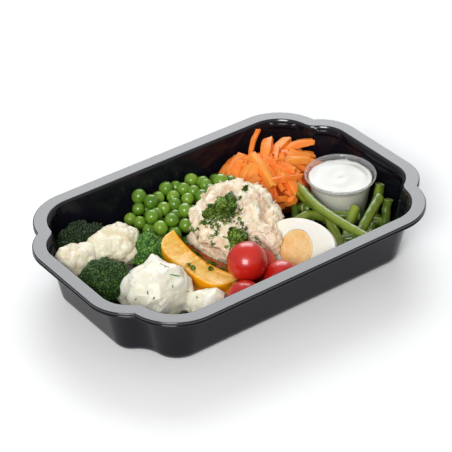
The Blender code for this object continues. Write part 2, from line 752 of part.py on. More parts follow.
def make_beans(trees, room, room_tree, blockers, material, collection):
    """Green beans lying across each other on a low bed of beans, under one long bean."""
    add_piece("green_bean_long", make_bean(*LONG_BEAN, BEAN_RADIUS), material, collection)
    trees = trees + [bean_tree(*LONG_BEAN)]
    core = make_core("green_beans", BEAN_BED, 0.0, material, collection)
    fit(core, room, blockers)
    parts = new_collection("green_beans_parts")
    for start, end, bow in BEANS:
        bm = make_bean(start, end, bow, BEAN_RADIUS)
        bm.verts.index_update()
        if is_clear(bm, trees, room_tree):
            add_piece("bean", bm, material, parts)
        else:
            bm.free()
    join_heap(core, parts)
    return core


def main():
    """Build the tray and its food, in the order in which the pieces give way to each other."""
    clear_scene()
    meal = new_collection("tray_meal")
    cutters = new_collection("cutters")
    black = make_material("black_plastic", (0.012, 0.012, 0.014), 0.25)
    clear = make_material("clear_plastic", (0.9, 0.92, 0.93), 0.08, 0.8)
    cream = make_material("white_sauce", (0.85, 0.83, 0.78), 0.3)
    red = make_material("tomato_skin", (0.50, 0.02, 0.01), 0.15)
    white = make_material("egg_white", (0.87, 0.84, 0.72), 0.35)
    yellow = make_material("egg_yolk", (0.90, 0.55, 0.20), 0.6)
    orange = make_material("peach", (0.90, 0.42, 0.05), 0.3)
    dark_green = make_material("broccoli", (0.03, 0.09, 0.02), 0.6)
    ivory = make_material("cauliflower", (0.80, 0.74, 0.55), 0.5)
    pale = make_material("potato_salad", (0.80, 0.78, 0.62), 0.35)
    beige = make_material("tuna_salad", (0.74, 0.54, 0.38), 0.45)
    leaf = make_material("parsley", (0.04, 0.13, 0.02), 0.5)
    pea_green = make_material("peas", (0.16, 0.38, 0.04), 0.3)
    carrot = make_material("carrots", (0.85, 0.22, 0.03), 0.35)
    bean_green = make_material("green_beans", (0.14, 0.27, 0.04), 0.35)

    make_tray(meal, black)
    room = make_room(cutters, black)
    room_tree = tree_of(room)
    turned("dip_cup", CUP_PROFILE, CUP_STEPS, clear, meal)
    turned("dip_sauce", SAUCE_PROFILE, CUP_STEPS, cream, meal)
    tomatoes = make_tomatoes(meal, red)
    egg_pieces = make_egg(meal, cutters, white, yellow)
    blockers = [as_cutter(turned("cup_space", CUP_SPACE, CUP_STEPS, clear, cutters))]
    blockers += [grown(piece, cutters) for piece in (*tomatoes, *egg_pieces)]

    for name, shape in PEACH_WEDGES.items():
        piece = make_peach(name, shape, orange, meal)
        settle(piece, room, blockers, cutters)
    for number, (name, (centre, half)) in enumerate(PARSLEY.items()):
        piece = make_parsley(name, centre, half, leaf, meal, 40 + number)
        settle(piece, room, blockers, cutters)
    for name, shape in FLORETS.items():
        piece = make_floret(name, shape, dark_green if "broccoli" in name else ivory, meal)
        settle(piece, room, blockers, cutters)
    potato = make_lumps("potato_salad", POTATO_LUMPS, 30, 0.07, 21, ((0.15, 0.45, 0.88), 0.08, 0.35),
                        pale, meal, cutters)
    settle(potato, room, blockers, cutters)
    tuna = make_lumps("tuna_salad", TUNA_LUMPS, 60, 0.10, 31, None, beige, meal, cutters)
    settle(tuna, room, blockers, cutters)

    trees = [tree_of(piece) for piece in blockers]
    peas = make_peas(trees, room, room_tree, blockers, pea_green, meal)
    trees.append(tree_of(grown(peas, cutters)))
    blockers.append(as_cutter(make_core("pea_space", PEA_MOUND, -PEA_RADIUS - GAP, pea_green, cutters)))
    planned = [bean_tree(*bean) for bean in (LONG_BEAN, *BEANS)]
    carrots = make_carrots(trees + planned, room, room_tree, blockers, carrot, meal)
    trees.append(tree_of(grown(carrots, cutters)))
    blockers.append(as_cutter(make_core("carrot_space", CARROT_MOUND, -CARROT_DEPTH - GAP, carrot, cutters)))
    make_beans(trees, room, room_tree, blockers, bean_green, meal)
    total = 0
    for piece in meal.objects:
        count = sum(len(face.vertices) - 2 for face in piece.data.polygons)
        total += count
        print(f"{piece.name}: {count} triangles")
    print(f"in all {total} triangles")


main()
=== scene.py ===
# %% [markdown]
# # A cold meal in a black plastic tray
#
# This lesson dresses a plain model of a takeaway meal. The plain model has the right sizes, and every
# food in it is one simple solid. Here each solid gets its real look: single peas, cut carrot sticks,
# beans, florets made of buds, flaked tuna, a creamy salad, fruit, egg and tomatoes.
#
# All sizes below are in millimetres, as a cook or a mould maker would give them. They turn into metres
# in one place, new_piece.

# %% Load the plain model
import itertools
import math
import random

import bmesh
import bpy
from mathutils import Euler, Matrix, Vector, noise
from mathutils.bvhtree import BVHTree


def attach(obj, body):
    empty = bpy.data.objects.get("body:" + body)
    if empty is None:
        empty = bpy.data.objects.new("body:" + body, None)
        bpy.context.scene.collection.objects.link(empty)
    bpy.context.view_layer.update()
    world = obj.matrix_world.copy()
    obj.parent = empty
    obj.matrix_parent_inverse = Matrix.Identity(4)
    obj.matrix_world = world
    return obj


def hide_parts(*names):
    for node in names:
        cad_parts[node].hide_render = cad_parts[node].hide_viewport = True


MM = 0.001


# A fixed seed gives the carved foods the same shape in every run
noise.seed_set(7)
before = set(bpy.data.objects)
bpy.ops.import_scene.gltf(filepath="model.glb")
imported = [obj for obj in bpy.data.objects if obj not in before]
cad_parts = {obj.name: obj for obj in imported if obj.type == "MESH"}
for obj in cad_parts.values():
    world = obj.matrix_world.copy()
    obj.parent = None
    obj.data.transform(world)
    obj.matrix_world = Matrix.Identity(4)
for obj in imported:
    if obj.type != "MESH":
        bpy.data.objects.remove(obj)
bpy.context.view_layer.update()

# %% [markdown]
# ## Small helpers
#
# Every piece below ends the same way: a mesh in millimetres becomes an object in metres, it is joined
# to the model, and it hides the plain solid that it stands for. A few short functions do this once.


# %% Turn a mesh into a piece
def in_metres(name, bm):
    """Turn a bmesh in millimetres into a mesh in metres."""
    bmesh.ops.scale(bm, vec=(MM, MM, MM), verts=bm.verts)
    mesh = bpy.data.meshes.new(name)
    bm.to_mesh(mesh)
    bm.free()
    return mesh


def add_object(name, data):
    """Put an object into the scene."""
    item = bpy.data.objects.new(name, data)
    bpy.context.scene.collection.objects.link(item)
    return item


def new_piece(name, bm, material, sharp=None):
    """Make a smooth object from a bmesh in millimetres; edges sharper than an angle stay crisp."""
    mesh = in_metres(name, bm)
    mesh.shade_smooth()
    if sharp is not None:
        mesh.set_sharp_from_angle(angle=math.radians(sharp))
    mesh.materials.append(material)
    return add_object(name, mesh)


# %% Settle a piece on the tray
# Food lies on the tray's floor and ends at the top of the plain model
FOOD_LOWEST, FOOD_HIGHEST = 1.25, 48.1


def settle(piece, slot, *solids):
    """Join a finished piece to the model in place of its plain solids."""
    if slot != "black_plastic":
        for vert in piece.data.vertices:
            vert.co.z = min(max(vert.co.z, FOOD_LOWEST * MM), FOOD_HIGHEST * MM)
    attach(piece, "root")
    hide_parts(*solids)
    faces = sum(len(face.vertices) - 2 for face in piece.data.polygons)
    print(f"{piece.name}: {faces} triangles")
    return piece


# %% Keep what modifiers make
def apply_modifiers(piece):
    """Turn what an object's modifiers make into its plain mesh."""
    graph = bpy.context.evaluated_depsgraph_get()
    mesh = bpy.data.meshes.new_from_object(piece.evaluated_get(graph))
    old = piece.data
    piece.modifiers.clear()
    piece.data = mesh
    bpy.data.meshes.remove(old)
    mesh.name = piece.name


# %% Join rings into a skin
def loft(bm, rings, cap_start=True):
    """Join rings of equal length with quads, and close the last end, and the first one where asked."""
    rows = [[bm.verts.new(point) for point in ring] for ring in rings]
    count = len(rows[0])
    for lower, upper in zip(rows, rows[1:]):
        for index in range(count):
            after = (index + 1) % count
            bm.faces.new((lower[index], lower[after], upper[after], upper[index]))
    if cap_start:
        bm.faces.new(list(reversed(rows[0])))
    bm.faces.new(rows[-1])
    return rows


def value_layer(bm, name):
    """The layer that keeps a named value on every point of a bmesh."""
    layers = bm.verts.layers.float
    return layers.get(name) or layers.new(name)


# %% [markdown]
# ## Helpers for materials
#
# Food is never one flat colour. Each material below starts from a shader with a base roughness and
# then gets two or three noises: a wide one that shifts the colour, and a fine one for the surface.
# The noises read Object coordinates, so they stay where they are when the tray is turned.


# %% Build materials from nodes
def new_material(name, roughness, **values):
    """Make a Principled material and return it with its node tree and shader."""
    material = bpy.data.materials.new(name)
    material.use_nodes = True
    shader = material.node_tree.nodes["Principled BSDF"]
    shader.inputs["Roughness"].default_value = roughness
    for key, value in values.items():
        shader.inputs[key.replace("_", " ")].default_value = value
    return material, material.node_tree, shader


def new_food(name, roughness, glow, reach, **values):
    """A finish that lets some light in: how much, and how far in millimetres."""
    return new_material(name, roughness, Subsurface_Weight=glow, Subsurface_Scale=reach * MM, **values)


def add_node(tree, kind, **inputs):
    """Add a node; inputs are values, or outputs of other nodes to link."""
    node = tree.nodes.new(kind)
    for key, value in inputs.items():
        socket = node.inputs[key.replace("_", " ")]
        if isinstance(value, bpy.types.NodeSocket):
            tree.links.new(value, socket)
        else:
            socket.default_value = value
    return node


# %% Patterns that stay on the food
def object_place(tree, stretch=(1.0, 1.0, 1.0), turn=(0.0, 0.0, 0.0)):
    """Object coordinates in millimetres, turned and stretched."""
    place = add_node(tree, "ShaderNodeTexCoord").outputs["Object"]
    scale = [1000.0 * share for share in stretch]
    return add_node(tree, "ShaderNodeMapping", Vector=place, Scale=scale, Rotation=turn).outputs["Vector"]


def grain(tree, size, place=None, detail=3.0, distortion=0.0):
    """Noise with features of about a size in millimetres."""
    place = place or object_place(tree)
    node = add_node(tree, "ShaderNodeTexNoise", Vector=place, Scale=1.0 / size, Detail=detail,
                    Distortion=distortion)
    return node.outputs["Fac"]


def cells(tree, size, place=None):
    """How far it is to the middle of the nearest cell; cells are about a size in millimetres."""
    place = place or object_place(tree)
    return add_node(tree, "ShaderNodeTexVoronoi", Vector=place, Scale=1.0 / size).outputs["Distance"]


def by_place(tree, axis, start, end, low=0.0, high=1.0):
    """A value that runs from low to high between two places on an axis, in millimetres."""
    place = add_node(tree, "ShaderNodeSeparateXYZ", Vector=object_place(tree)).outputs[axis]
    node = add_node(tree, "ShaderNodeMapRange", Value=place, From_Min=start, From_Max=end,
                    To_Min=low, To_Max=high)
    return node.outputs["Result"]


def attribute(tree, name):
    """Read a value that the mesh carries."""
    node = tree.nodes.new("ShaderNodeAttribute")
    node.attribute_name = name
    return node.outputs["Fac"]


# %% Turn a pattern into colour and relief
def ramp(tree, value, *stops):
    """Map a value to colours or greys; each stop is a position and a colour."""
    node = add_node(tree, "ShaderNodeValToRGB", Fac=value)
    points = node.color_ramp.elements
    while len(points) < len(stops):
        points.new(0.5)
    for point, (position, colour) in zip(points, stops):
        point.position = position
        if isinstance(colour, (int, float)):
            colour = (colour, colour, colour)
        point.color = (*colour, 1.0)
    return node.outputs["Color"]


def blend(tree, share, first, second):
    """Mix two colours."""
    node = tree.nodes.new("ShaderNodeMix")
    node.data_type = "RGBA"
    for index, value in ((0, share), (6, first), (7, second)):
        if isinstance(value, bpy.types.NodeSocket):
            tree.links.new(value, node.inputs[index])
        elif index == 0:
            node.inputs[index].default_value = value
        else:
            node.inputs[index].default_value = (*value, 1.0)
    return node.outputs[2]


def maths(tree, operation, first, second):
    """One operation on two values."""
    node = tree.nodes.new("ShaderNodeMath")
    node.operation = operation
    for index, value in enumerate((first, second)):
        if isinstance(value, bpy.types.NodeSocket):
            tree.links.new(value, node.inputs[index])
        else:
            node.inputs[index].default_value = value
    return node.outputs[0]


def paint(tree, shader, colour):
    """Link a colour to the shader."""
    tree.links.new(colour, shader.inputs["Base Color"])


def emboss(tree, shader, height, depth, strength):
    """Raise the surface by a height pattern, with a depth in millimetres."""
    node = add_node(tree, "ShaderNodeBump", Height=height, Distance=depth * MM, Strength=strength)
    tree.links.new(node.outputs["Normal"], shader.inputs["Normal"])


# %% [markdown]
# ## The tray
#
# A tray like this is one sheet of black plastic, warmed and sucked into a mould. So it is drawn as one
# sheet too: a row of rings from the lip over the flat flange and down the wall to the floor, then given
# its thickness. Each corner is made of two round lobes with a cusp between them. Small lugs under the
# flange keep stacked trays from sticking together.

# %% The tray's outline and section
TRAY_HALF_LENGTH, TRAY_HALF_WIDTH, TRAY_HEIGHT = 120.0, 78.4, 39.5
SIDE_LOBE_X, SIDE_LOBE_RADIUS = 73.7, 32.7
END_LOBE_Y, END_LOBE_RADIUS = 26.3, 28.1
CUSP_RADIUS = 1.35
LOBE_STEPS, CUSP_STEPS = 26, 12
SHEET = 0.75
# Inset from the outline and depth below the rim, from the lip's lower edge to the foot of the wall
LIP = ((0.55, 3.55), (0.12, 3.3), (0.0, 2.9), (0.05, 2.4), (0.5, 2.1), (0.55, 1.8), (0.12, 1.45), (0.0, 1.1),
       (0.04, 0.6), (0.2, 0.2), (0.5, 0.0), (0.8, 0.0))
FLANGE = ((4.0, 0.0), (7.7, 0.0), (8.1, 0.0), (8.5, 0.12), (8.85, 0.5), (9.0, 0.9))
WALL_TOP, WALL_FOOT = (9.4, 1.6), (16.0, 33.9)
FOOT = ((16.3, 35.2), (16.9, 36.6), (17.8, 37.7), (18.8, 38.4), (20.4, TRAY_HEIGHT - SHEET))
WALL_STEPS = 44
LUG_WIDTH, LUG_PUSH, LUG_TOP, LUG_BOTTOM = 9.0, 1.3, 38.2, 33.5
SIDE_LOBE = (SIDE_LOBE_X, TRAY_HALF_WIDTH - SIDE_LOBE_RADIUS)
END_LOBE = (TRAY_HALF_LENGTH - END_LOBE_RADIUS, END_LOBE_Y)
# A corner's two lugs: the lobe's middle, how far from it the lug sits and in which direction, in degrees
LUGS = ((SIDE_LOBE, 22.0, 46.0), (END_LOBE, 17.5, 34.0))
END_LUG_X, END_LUG_PUSH, END_LUG_HALF_WIDTH = 100.0, 0.9, 24.0


def arc(centre, radius, start, end, steps):
    """Points along an arc in the plane."""
    angles = [start + (end - start) * step / steps for step in range(steps + 1)]
    return [(centre[0] + radius * math.cos(a), centre[1] + radius * math.sin(a)) for a in angles]


def tray_ring(inset):
    """The tray's outline, drawn in by an inset: two lobes at each corner with a cusp between."""
    side, end = Vector(SIDE_LOBE), Vector(END_LOBE)
    span = end - side
    reach_side = SIDE_LOBE_RADIUS + CUSP_RADIUS
    reach_end = END_LOBE_RADIUS + CUSP_RADIUS
    along = (reach_side ** 2 - reach_end ** 2 + span.length ** 2) / (2.0 * span.length)
    unit = span.normalized()
    cusp = side + unit * along + Vector((-unit.y, unit.x)) * math.sqrt(reach_side ** 2 - along ** 2)
    to_side = math.atan2(cusp.y - side.y, cusp.x - side.x)
    to_end = math.atan2(cusp.y - end.y, cusp.x - end.x)
    quarter = arc(end, END_LOBE_RADIUS - inset, 0.0, to_end, LOBE_STEPS)
    quarter += arc(cusp, CUSP_RADIUS + inset, to_end + math.pi, to_side + math.pi, CUSP_STEPS)[1:]
    quarter += arc(side, SIDE_LOBE_RADIUS - inset, to_side, math.pi / 2.0, LOBE_STEPS)[1:]
    middle = [(TRAY_HALF_LENGTH - inset, END_LOBE_Y * step / 8.0) for step in range(8)]
    quarter = middle + quarter
    points = quarter + [(-x, y) for x, y in reversed(quarter[1:])]
    points += [(-x, -y) for x, y in quarter]
    return points + [(x, -y) for x, y in reversed(quarter[1:])]


# %% Tell inside from outside
def inside_tray(point, margin):
    """Tell whether a point in millimetres lies within the tray's wall, with a margin."""
    share = (TRAY_HEIGHT - WALL_TOP[1] - point[2]) / (WALL_FOOT[1] - WALL_TOP[1])
    outline = tray_ring(WALL_TOP[0] + (WALL_FOOT[0] - WALL_TOP[0]) * share + margin)
    inside = False
    for (x, y), (after_x, after_y) in zip(outline, outline[1:] + outline[:1]):
        if (y > point[1]) != (after_y > point[1]):
            if point[0] < x + (after_x - x) * (point[1] - y) / (after_y - y):
                inside = not inside
    return inside


# %% Push the lugs in
def smooth_step(value):
    """Ease from 0 to 1."""
    value = min(1.0, max(0.0, value))
    return value * value * (3.0 - 2.0 * value)


def lug_push(x, y, height):
    """How far the wall is pushed inwards at a point: two lugs at each corner, a long one at each end."""
    lift = smooth_step((LUG_TOP - height) / 1.0) * smooth_step((height - LUG_BOTTOM) / 1.5)
    if lift == 0.0:
        return 0.0
    push = 0.0
    for centre, radius, angle in LUGS:
        a = math.radians(angle)
        lug = Vector((centre[0] + radius * math.cos(a), centre[1] + radius * math.sin(a)))
        away = (Vector((abs(x), abs(y))) - lug).length
        push = max(push, LUG_PUSH * smooth_step((LUG_WIDTH - away) / 2.0))
    if abs(x) > END_LUG_X:
        push = max(push, END_LUG_PUSH * smooth_step((END_LUG_HALF_WIDTH - abs(y)) / 2.0))
    return push * lift


# %% Form the sheet
def make_tray(material):
    """Loft the sheet from lip to floor, then give it its thickness downwards."""
    section = list(LIP + FLANGE)
    for step in range(WALL_STEPS + 1):
        share = step / WALL_STEPS
        section.append((WALL_TOP[0] + (WALL_FOOT[0] - WALL_TOP[0]) * share,
                        WALL_TOP[1] + (WALL_FOOT[1] - WALL_TOP[1]) * share))
    section += FOOT
    rings = []
    for inset, depth in section:
        height = TRAY_HEIGHT - depth
        ring = []
        for (x, y), (inner_x, inner_y) in zip(tray_ring(inset), tray_ring(inset + 1.0)):
            push = lug_push(x, y, height) if depth > 1.0 and inset > 9.0 else 0.0
            ring.append((x + (inner_x - x) * push, y + (inner_y - y) * push, height))
        rings.append(ring)
    bm = bmesh.new()
    loft(bm, rings, cap_start=False)
    bmesh.ops.recalc_face_normals(bm, faces=bm.faces)
    floor = max(bm.faces, key=lambda face: len(face.verts))
    if floor.normal.z < 0.0:
        bmesh.ops.reverse_faces(bm, faces=bm.faces)
    tray = new_piece("formed_tray", bm, material, sharp=60.0)
    sheet = tray.modifiers.new("Sheet", "SOLIDIFY")
    sheet.thickness = SHEET * MM
    sheet.offset = -1.0
    sheet.use_even_offset = True
    apply_modifiers(tray)
    tray.data.shade_smooth()
    tray.data.set_sharp_from_angle(angle=math.radians(60.0))
    return tray


# %% The tray's black plastic
black, tree, shader = new_material("glossy_black_plastic", 0.16)
shade = grain(tree, 30.0, detail=2.0)
paint(tree, shader, ramp(tree, shade, (0.3, (0.0040, 0.0040, 0.0070)), (0.7, (0.0060, 0.0060, 0.0100))))
scuffs = grain(tree, 12.0, detail=2.0)
tree.links.new(ramp(tree, scuffs, (0.35, 0.13), (0.7, 0.18)), shader.inputs["Roughness"])
# The flange is polished by the mould plate and shines more than the walls
tree.links.new(by_place(tree, "Z", 37.6, 38.6, 0.22, 0.75), shader.inputs["Specular IOR Level"])
tray = settle(make_tray(black), "black_plastic", "tray")

# %% [markdown]
# ## The dip cup and its sauce
#
# The cup is blown from thin clear plastic: a tapered wall with two ledges near the top and a rolled
# rim. A shape like this is turned, so its section is drawn once and spun round the cup's axis. The
# sauce fills it to just under the rim and stays a little uneven where the spoon left it.

# %% Turn the cup and pour the sauce
CUP_PLACE = Vector((85.5, -1.5, 0.0))
CUP_STEPS = 120
# Radius and height, from the floor up the inside, over the rolled rim and down the outside
CUP_SECTION = (
    (14.6, 1.35), (15.4, 1.6), (16.1, 2.6), (19.35, 25.6), (19.9, 26.2), (20.2, 26.9), (20.5, 28.9),
    (21.1, 29.4), (21.35, 30.1), (21.5, 31.5), (21.9, 32.2), (22.4, 32.45), (22.75, 32.1), (22.78, 31.6),
    (22.3, 31.35), (21.75, 31.0), (21.7, 29.9), (21.4, 29.1), (20.8, 28.5), (20.6, 27.0), (20.2, 26.0),
    (19.7, 25.3), (16.45, 2.4), (15.6, 1.2), (14.8, 1.16),
)
SAUCE_RADIUS, SAUCE_TOP = 20.0, 29.35


def spin(section):
    """Spin a section of radius and height round an upright axis, into a new bmesh."""
    angles = [2.0 * math.pi * step / CUP_STEPS for step in range(CUP_STEPS)]
    bm = bmesh.new()
    loft(bm, [[(radius * math.cos(a), radius * math.sin(a), height) for a in angles]
              for radius, height in section])
    bmesh.ops.recalc_face_normals(bm, faces=bm.faces)
    return bm


def make_cup(material):
    """The thin cup, turned in one go."""
    bm = spin(CUP_SECTION)
    bmesh.ops.translate(bm, vec=CUP_PLACE, verts=bm.verts)
    return new_piece("thin_clear_cup", bm, material, sharp=50.0)


def make_sauce(material):
    """A filled cup shape whose top has a low swirl and creeps up at the edge."""
    section = [(14.9, 1.5), (15.9, 2.5), (19.15, 25.7), (19.95, 27.2), (20.15, SAUCE_TOP - 0.2)]
    section += [(SAUCE_RADIUS * (1.0 - step / 26.0), SAUCE_TOP) for step in range(26)]
    bm = spin(section)
    for vert in bm.verts:
        radius = math.hypot(vert.co.x, vert.co.y)
        if vert.co.z > SAUCE_TOP - 0.1 and radius < SAUCE_RADIUS:
            angle = math.atan2(vert.co.y, vert.co.x)
            swirl = 0.22 * math.sin(radius * 0.55 + angle) * smooth_step((SAUCE_RADIUS - radius) / 5.0)
            creep = 0.35 * smooth_step((radius - 17.5) / 2.5)
            vert.co.z += swirl + creep
    bmesh.ops.translate(bm, vec=CUP_PLACE, verts=bm.verts)
    return new_piece("creamy_sauce", bm, material)


# %% Clear plastic and white sauce
clear, tree, shader = new_material("clear_cup_plastic", 0.08, Transmission_Weight=0.8, IOR=1.45,
                                   Base_Color=(0.95, 0.96, 0.97, 1.0), Coat_Weight=0.5)
# The rolled rim is thick and shows more than the thin wall
tree.links.new(by_place(tree, "Z", 27.0, 31.5, 0.12, 0.75), shader.inputs["Alpha"])
emboss(tree, shader, grain(tree, 6.0, detail=1.0), 0.05, 0.2)
settle(make_cup(clear), "clear_plastic", "dip_cup")

cream, tree, shader = new_food("garlic_sauce", 0.32, 0.25, 4.0, Coat_Weight=0.15)
# Below its top the sauce is painted a lighter cream than the top: painted light that makes up for the shade
# behind the cup's wall and for the strong light on the top
top = ramp(tree, grain(tree, 9.0), (0.35, (0.60, 0.585, 0.54)), (0.7, (0.67, 0.66, 0.62)))
paint(tree, shader, blend(tree, by_place(tree, "Z", 28.0, 26.5), top, (0.97, 0.95, 0.82)))
emboss(tree, shader, grain(tree, 4.0, detail=2.0), 0.15, 0.2)
settle(make_sauce(cream), "white_sauce", "dip_sauce")

# %% [markdown]
# ## Cherry tomatoes
#
# A cherry tomato is nearly a sphere, a touch flatter at the stem and never quite round. Its skin is
# thin and shiny over flesh that lets some light in, so the material scatters a little light below a
# clear coat and turns from red to orange-red where the skin is thin.

# %% Grow the tomatoes
TOMATOES = {
    "tomato_top": ((-16.4, -37.8, 29.0), 12.1, (0.5, 0.45, -0.4)),
    "tomato_behind": ((0.0, -29.5, 14.5), 10.4, (-0.4, 0.7, 0.3)),
    "tomato_right": ((-0.8, -51.9, 17.5), 11.3, (0.2, 0.6, -0.6)),
    "tomato_left": ((-29.5, -53.3, 17.0), 11.1, (-0.6, 0.3, -0.5)),
}


def make_tomato(name, centre, radius, stem, material):
    """A slightly uneven ball with a dimple where the stem was."""
    stem = Vector(stem).normalized()
    bm = bmesh.new()
    bmesh.ops.create_icosphere(bm, subdivisions=5, radius=1.0)
    for vert in bm.verts:
        direction = vert.co.normalized()
        reach = radius * (1.0 + 0.012 * noise.noise(direction * 1.3 + Vector(centre)))
        toward = direction.dot(stem)
        reach *= 1.0 - 0.035 * toward * toward
        reach -= 0.9 * math.exp(-((1.0 - toward) / 0.03)) * radius / 11.0
        vert.co = direction * reach + Vector(centre)
    return new_piece(name, bm, material)


# %% Their red skin
red, tree, shader = new_food("tomato_skin_red", 0.32, 0.12, 2.0, Coat_Weight=0.55, Coat_Roughness=0.14,
                             IOR=1.45)
shade = ramp(tree, grain(tree, 12.0), (0.38, (0.47, 0.006, 0.004)), (0.68, (0.61, 0.018, 0.007)))
specks = ramp(tree, cells(tree, 0.9), (0.05, 1.0), (0.16, 0.0))
speck_share = maths(tree, "MULTIPLY", specks, 0.10)
paint(tree, shader, blend(tree, speck_share, shade, (0.80, 0.22, 0.06)))
emboss(tree, shader, grain(tree, 5.0), 0.15, 0.12)
for name, (centre, radius, stem) in TOMATOES.items():
    settle(make_tomato("ripe_" + name, centre, radius, stem, red), "tomato_skin", name)

# %% [markdown]
# ## Half an egg
#
# The egg was cut lengthwise, so it has a smooth wet white with a flat face and a round yolk that is
# dry and crumbly. The flat face leans against the fruit and shows its yolk. The white is one closed
# shape with a hollow, and the yolk sits in that hollow, slightly proud and cracked in a few places.

# %% Cut the egg
EGG_CENTRE = Vector((20.7, -37.8, 22.0))
EGG_HALF_LENGTH, EGG_RADIUS, EGG_TAPER, YOLK_RADIUS = 28.0, 19.0, 0.10, 12.0
facing = Vector((-0.83, -0.12, 0.54)).normalized()
along = Vector((0.34, -0.87, 0.33))
along = (along - facing * along.dot(facing)).normalized()
egg_turn = Matrix((along, facing.cross(along), facing)).transposed().to_4x4()
egg_place = Matrix.Translation(EGG_CENTRE) @ egg_turn
EGG_STEPS = 96
HOLLOW_RINGS = (0.0, 0.25, 0.5, 0.75, 0.92)
FACE_RINGS = (0.0, 0.1, 0.3, 0.6, 0.85, 0.96)
SKIN_RINGS = (0.02, 0.06, 0.12, 0.2, 0.3, 0.4, 0.5, 0.6, 0.7, 0.8, 0.88, 0.94, 0.98)


def make_white(material):
    """Rings from the yolk's hollow over the flat face, round its soft edge and down the outside."""
    section = [(share, "hollow") for share in HOLLOW_RINGS]
    section += [(share, "face") for share in FACE_RINGS]
    section += [(share, "skin") for share in SKIN_RINGS]
    rings = []
    for share, part in section:
        ring = []
        for step in range(EGG_STEPS):
            a = 2.0 * math.pi * step / EGG_STEPS
            c, s = math.cos(a), math.sin(a)
            width = EGG_RADIUS * (1.0 - EGG_TAPER * c)
            rim = Vector((EGG_HALF_LENGTH * c, width * s, 0.0))
            yolk = Vector((c, s, 0.0)) * (YOLK_RADIUS + 0.15)
            if part == "hollow":
                angle = (1.0 - share) * math.pi / 2.0
                ring.append(yolk * math.cos(angle) + Vector((0.0, 0.0, -math.sin(angle) * YOLK_RADIUS)))
            elif part == "face":
                point = yolk.lerp(rim, share)
                point.z = 0.10 * noise.noise(point * 0.15) - 0.25 * smooth_step((share - 0.8) / 0.2)
                ring.append(point)
            else:
                angle = share * math.pi / 2.0
                ring.append(Vector((rim.x * math.cos(angle), rim.y * math.cos(angle),
                                    -0.3 - width * 0.985 * math.sin(angle))))
        rings.append(ring)
    bm = bmesh.new()
    loft(bm, rings)
    bmesh.ops.recalc_face_normals(bm, faces=bm.faces)
    bmesh.ops.transform(bm, matrix=egg_place, verts=bm.verts)
    return new_piece("boiled_egg_white", bm, material, sharp=40.0)


# %% Crumble the yolk
def make_yolk(material):
    """A half ball with a crumbled flat face that stands a little proud of the white."""
    bm = bmesh.new()
    bmesh.ops.create_icosphere(bm, subdivisions=6, radius=1.0)
    for vert in bm.verts:
        direction = vert.co.normalized()
        point = direction * (YOLK_RADIUS - 0.05)
        if direction.z > 0.0:
            flat = math.hypot(direction.x, direction.y)
            spread = (YOLK_RADIUS - 0.05) * math.sin(math.pi / 2.0 * min(1.0, flat)) / max(flat, 1e-6)
            point = Vector((direction.x * spread, direction.y * spread, 0.0))
            away = math.hypot(point.x, point.y) / YOLK_RADIUS
            crumb = 0.22 * noise.noise(point * 0.9) + 0.16 * noise.noise(point * 2.3)
            crack = abs(noise.noise(point * 0.33 + Vector((7.0, 3.0, 1.0))))
            cleft = 0.45 * smooth_step((0.035 - crack) / 0.03) * smooth_step((0.75 - away) / 0.3)
            point.z = (0.35 + crumb - cleft) * smooth_step((1.0 - away) / 0.08)
        vert.co = point
    bmesh.ops.recalc_face_normals(bm, faces=bm.faces)
    bmesh.ops.transform(bm, matrix=egg_place, verts=bm.verts)
    return new_piece("boiled_egg_yolk", bm, material)


# %% Wet white and dry yolk
white, tree, shader = new_food("egg_white_wet", 0.28, 0.35, 5.0, Coat_Weight=0.2, Coat_Roughness=0.1)
wide = grain(tree, 18.0, detail=2.0)
paint(tree, shader, ramp(tree, wide, (0.3, (0.93, 0.915, 0.80)), (0.7, (0.96, 0.955, 0.88))))
emboss(tree, shader, grain(tree, 1.6, detail=4.0), 0.06, 0.3)
settle(make_white(white), "egg_white", "egg_white")

yolk_dry, tree, shader = new_food("egg_yolk_crumbly", 0.55, 0.2, 3.0)
wide = ramp(tree, grain(tree, 7.0, detail=4.0), (0.35, (0.88, 0.52, 0.18)), (0.65, (0.93, 0.66, 0.32)))
marks = ramp(tree, grain(tree, 2.6, detail=5.0, distortion=2.0), (0.60, 0.0), (0.70, 1.0))
paint(tree, shader, blend(tree, maths(tree, "MULTIPLY", marks, 0.75), wide, (0.80, 0.30, 0.03)))
crumbs = maths(tree, "ADD", grain(tree, 0.7, detail=5.0), maths(tree, "MULTIPLY", cells(tree, 0.6), 0.4))
emboss(tree, shader, crumbs, 0.35, 0.6)
settle(make_yolk(yolk_dry), "egg_yolk", "egg_yolk")

# %% [markdown]
# ## Peach
#
# A tinned peach wedge has two very different surfaces. Its cut face is pale and stringy, with a wet
# ragged hollow where the stone was, and its outer side is deep gold and smooth. The mesh carries a
# value that says which of the two a point belongs to, and one material reads it.

# %% Slice the peach
PEACHES = {
    "peach_wedge": dict(centre=(-26.1, -10.2, 24.6), half=25.9, reach=20.4, hollow=4.7,
                        along=(0.247, -0.94, -0.238), opening=88.0),
    "peach_slice_back": dict(centre=(-12.5, 0.0, 10.5), half=20.0, reach=13.0, hollow=2.0,
                             along=(0.25, -0.95, -0.05), opening=60.0),
    "peach_slice_front": dict(centre=(-33.0, -24.0, 11.5), half=14.0, reach=11.0, hollow=1.0,
                              along=(0.55, -0.83, 0.0), opening=70.0),
}
FACE_STEPS, SKIN_STEPS, PEACH_STATIONS = 12, 22, 90


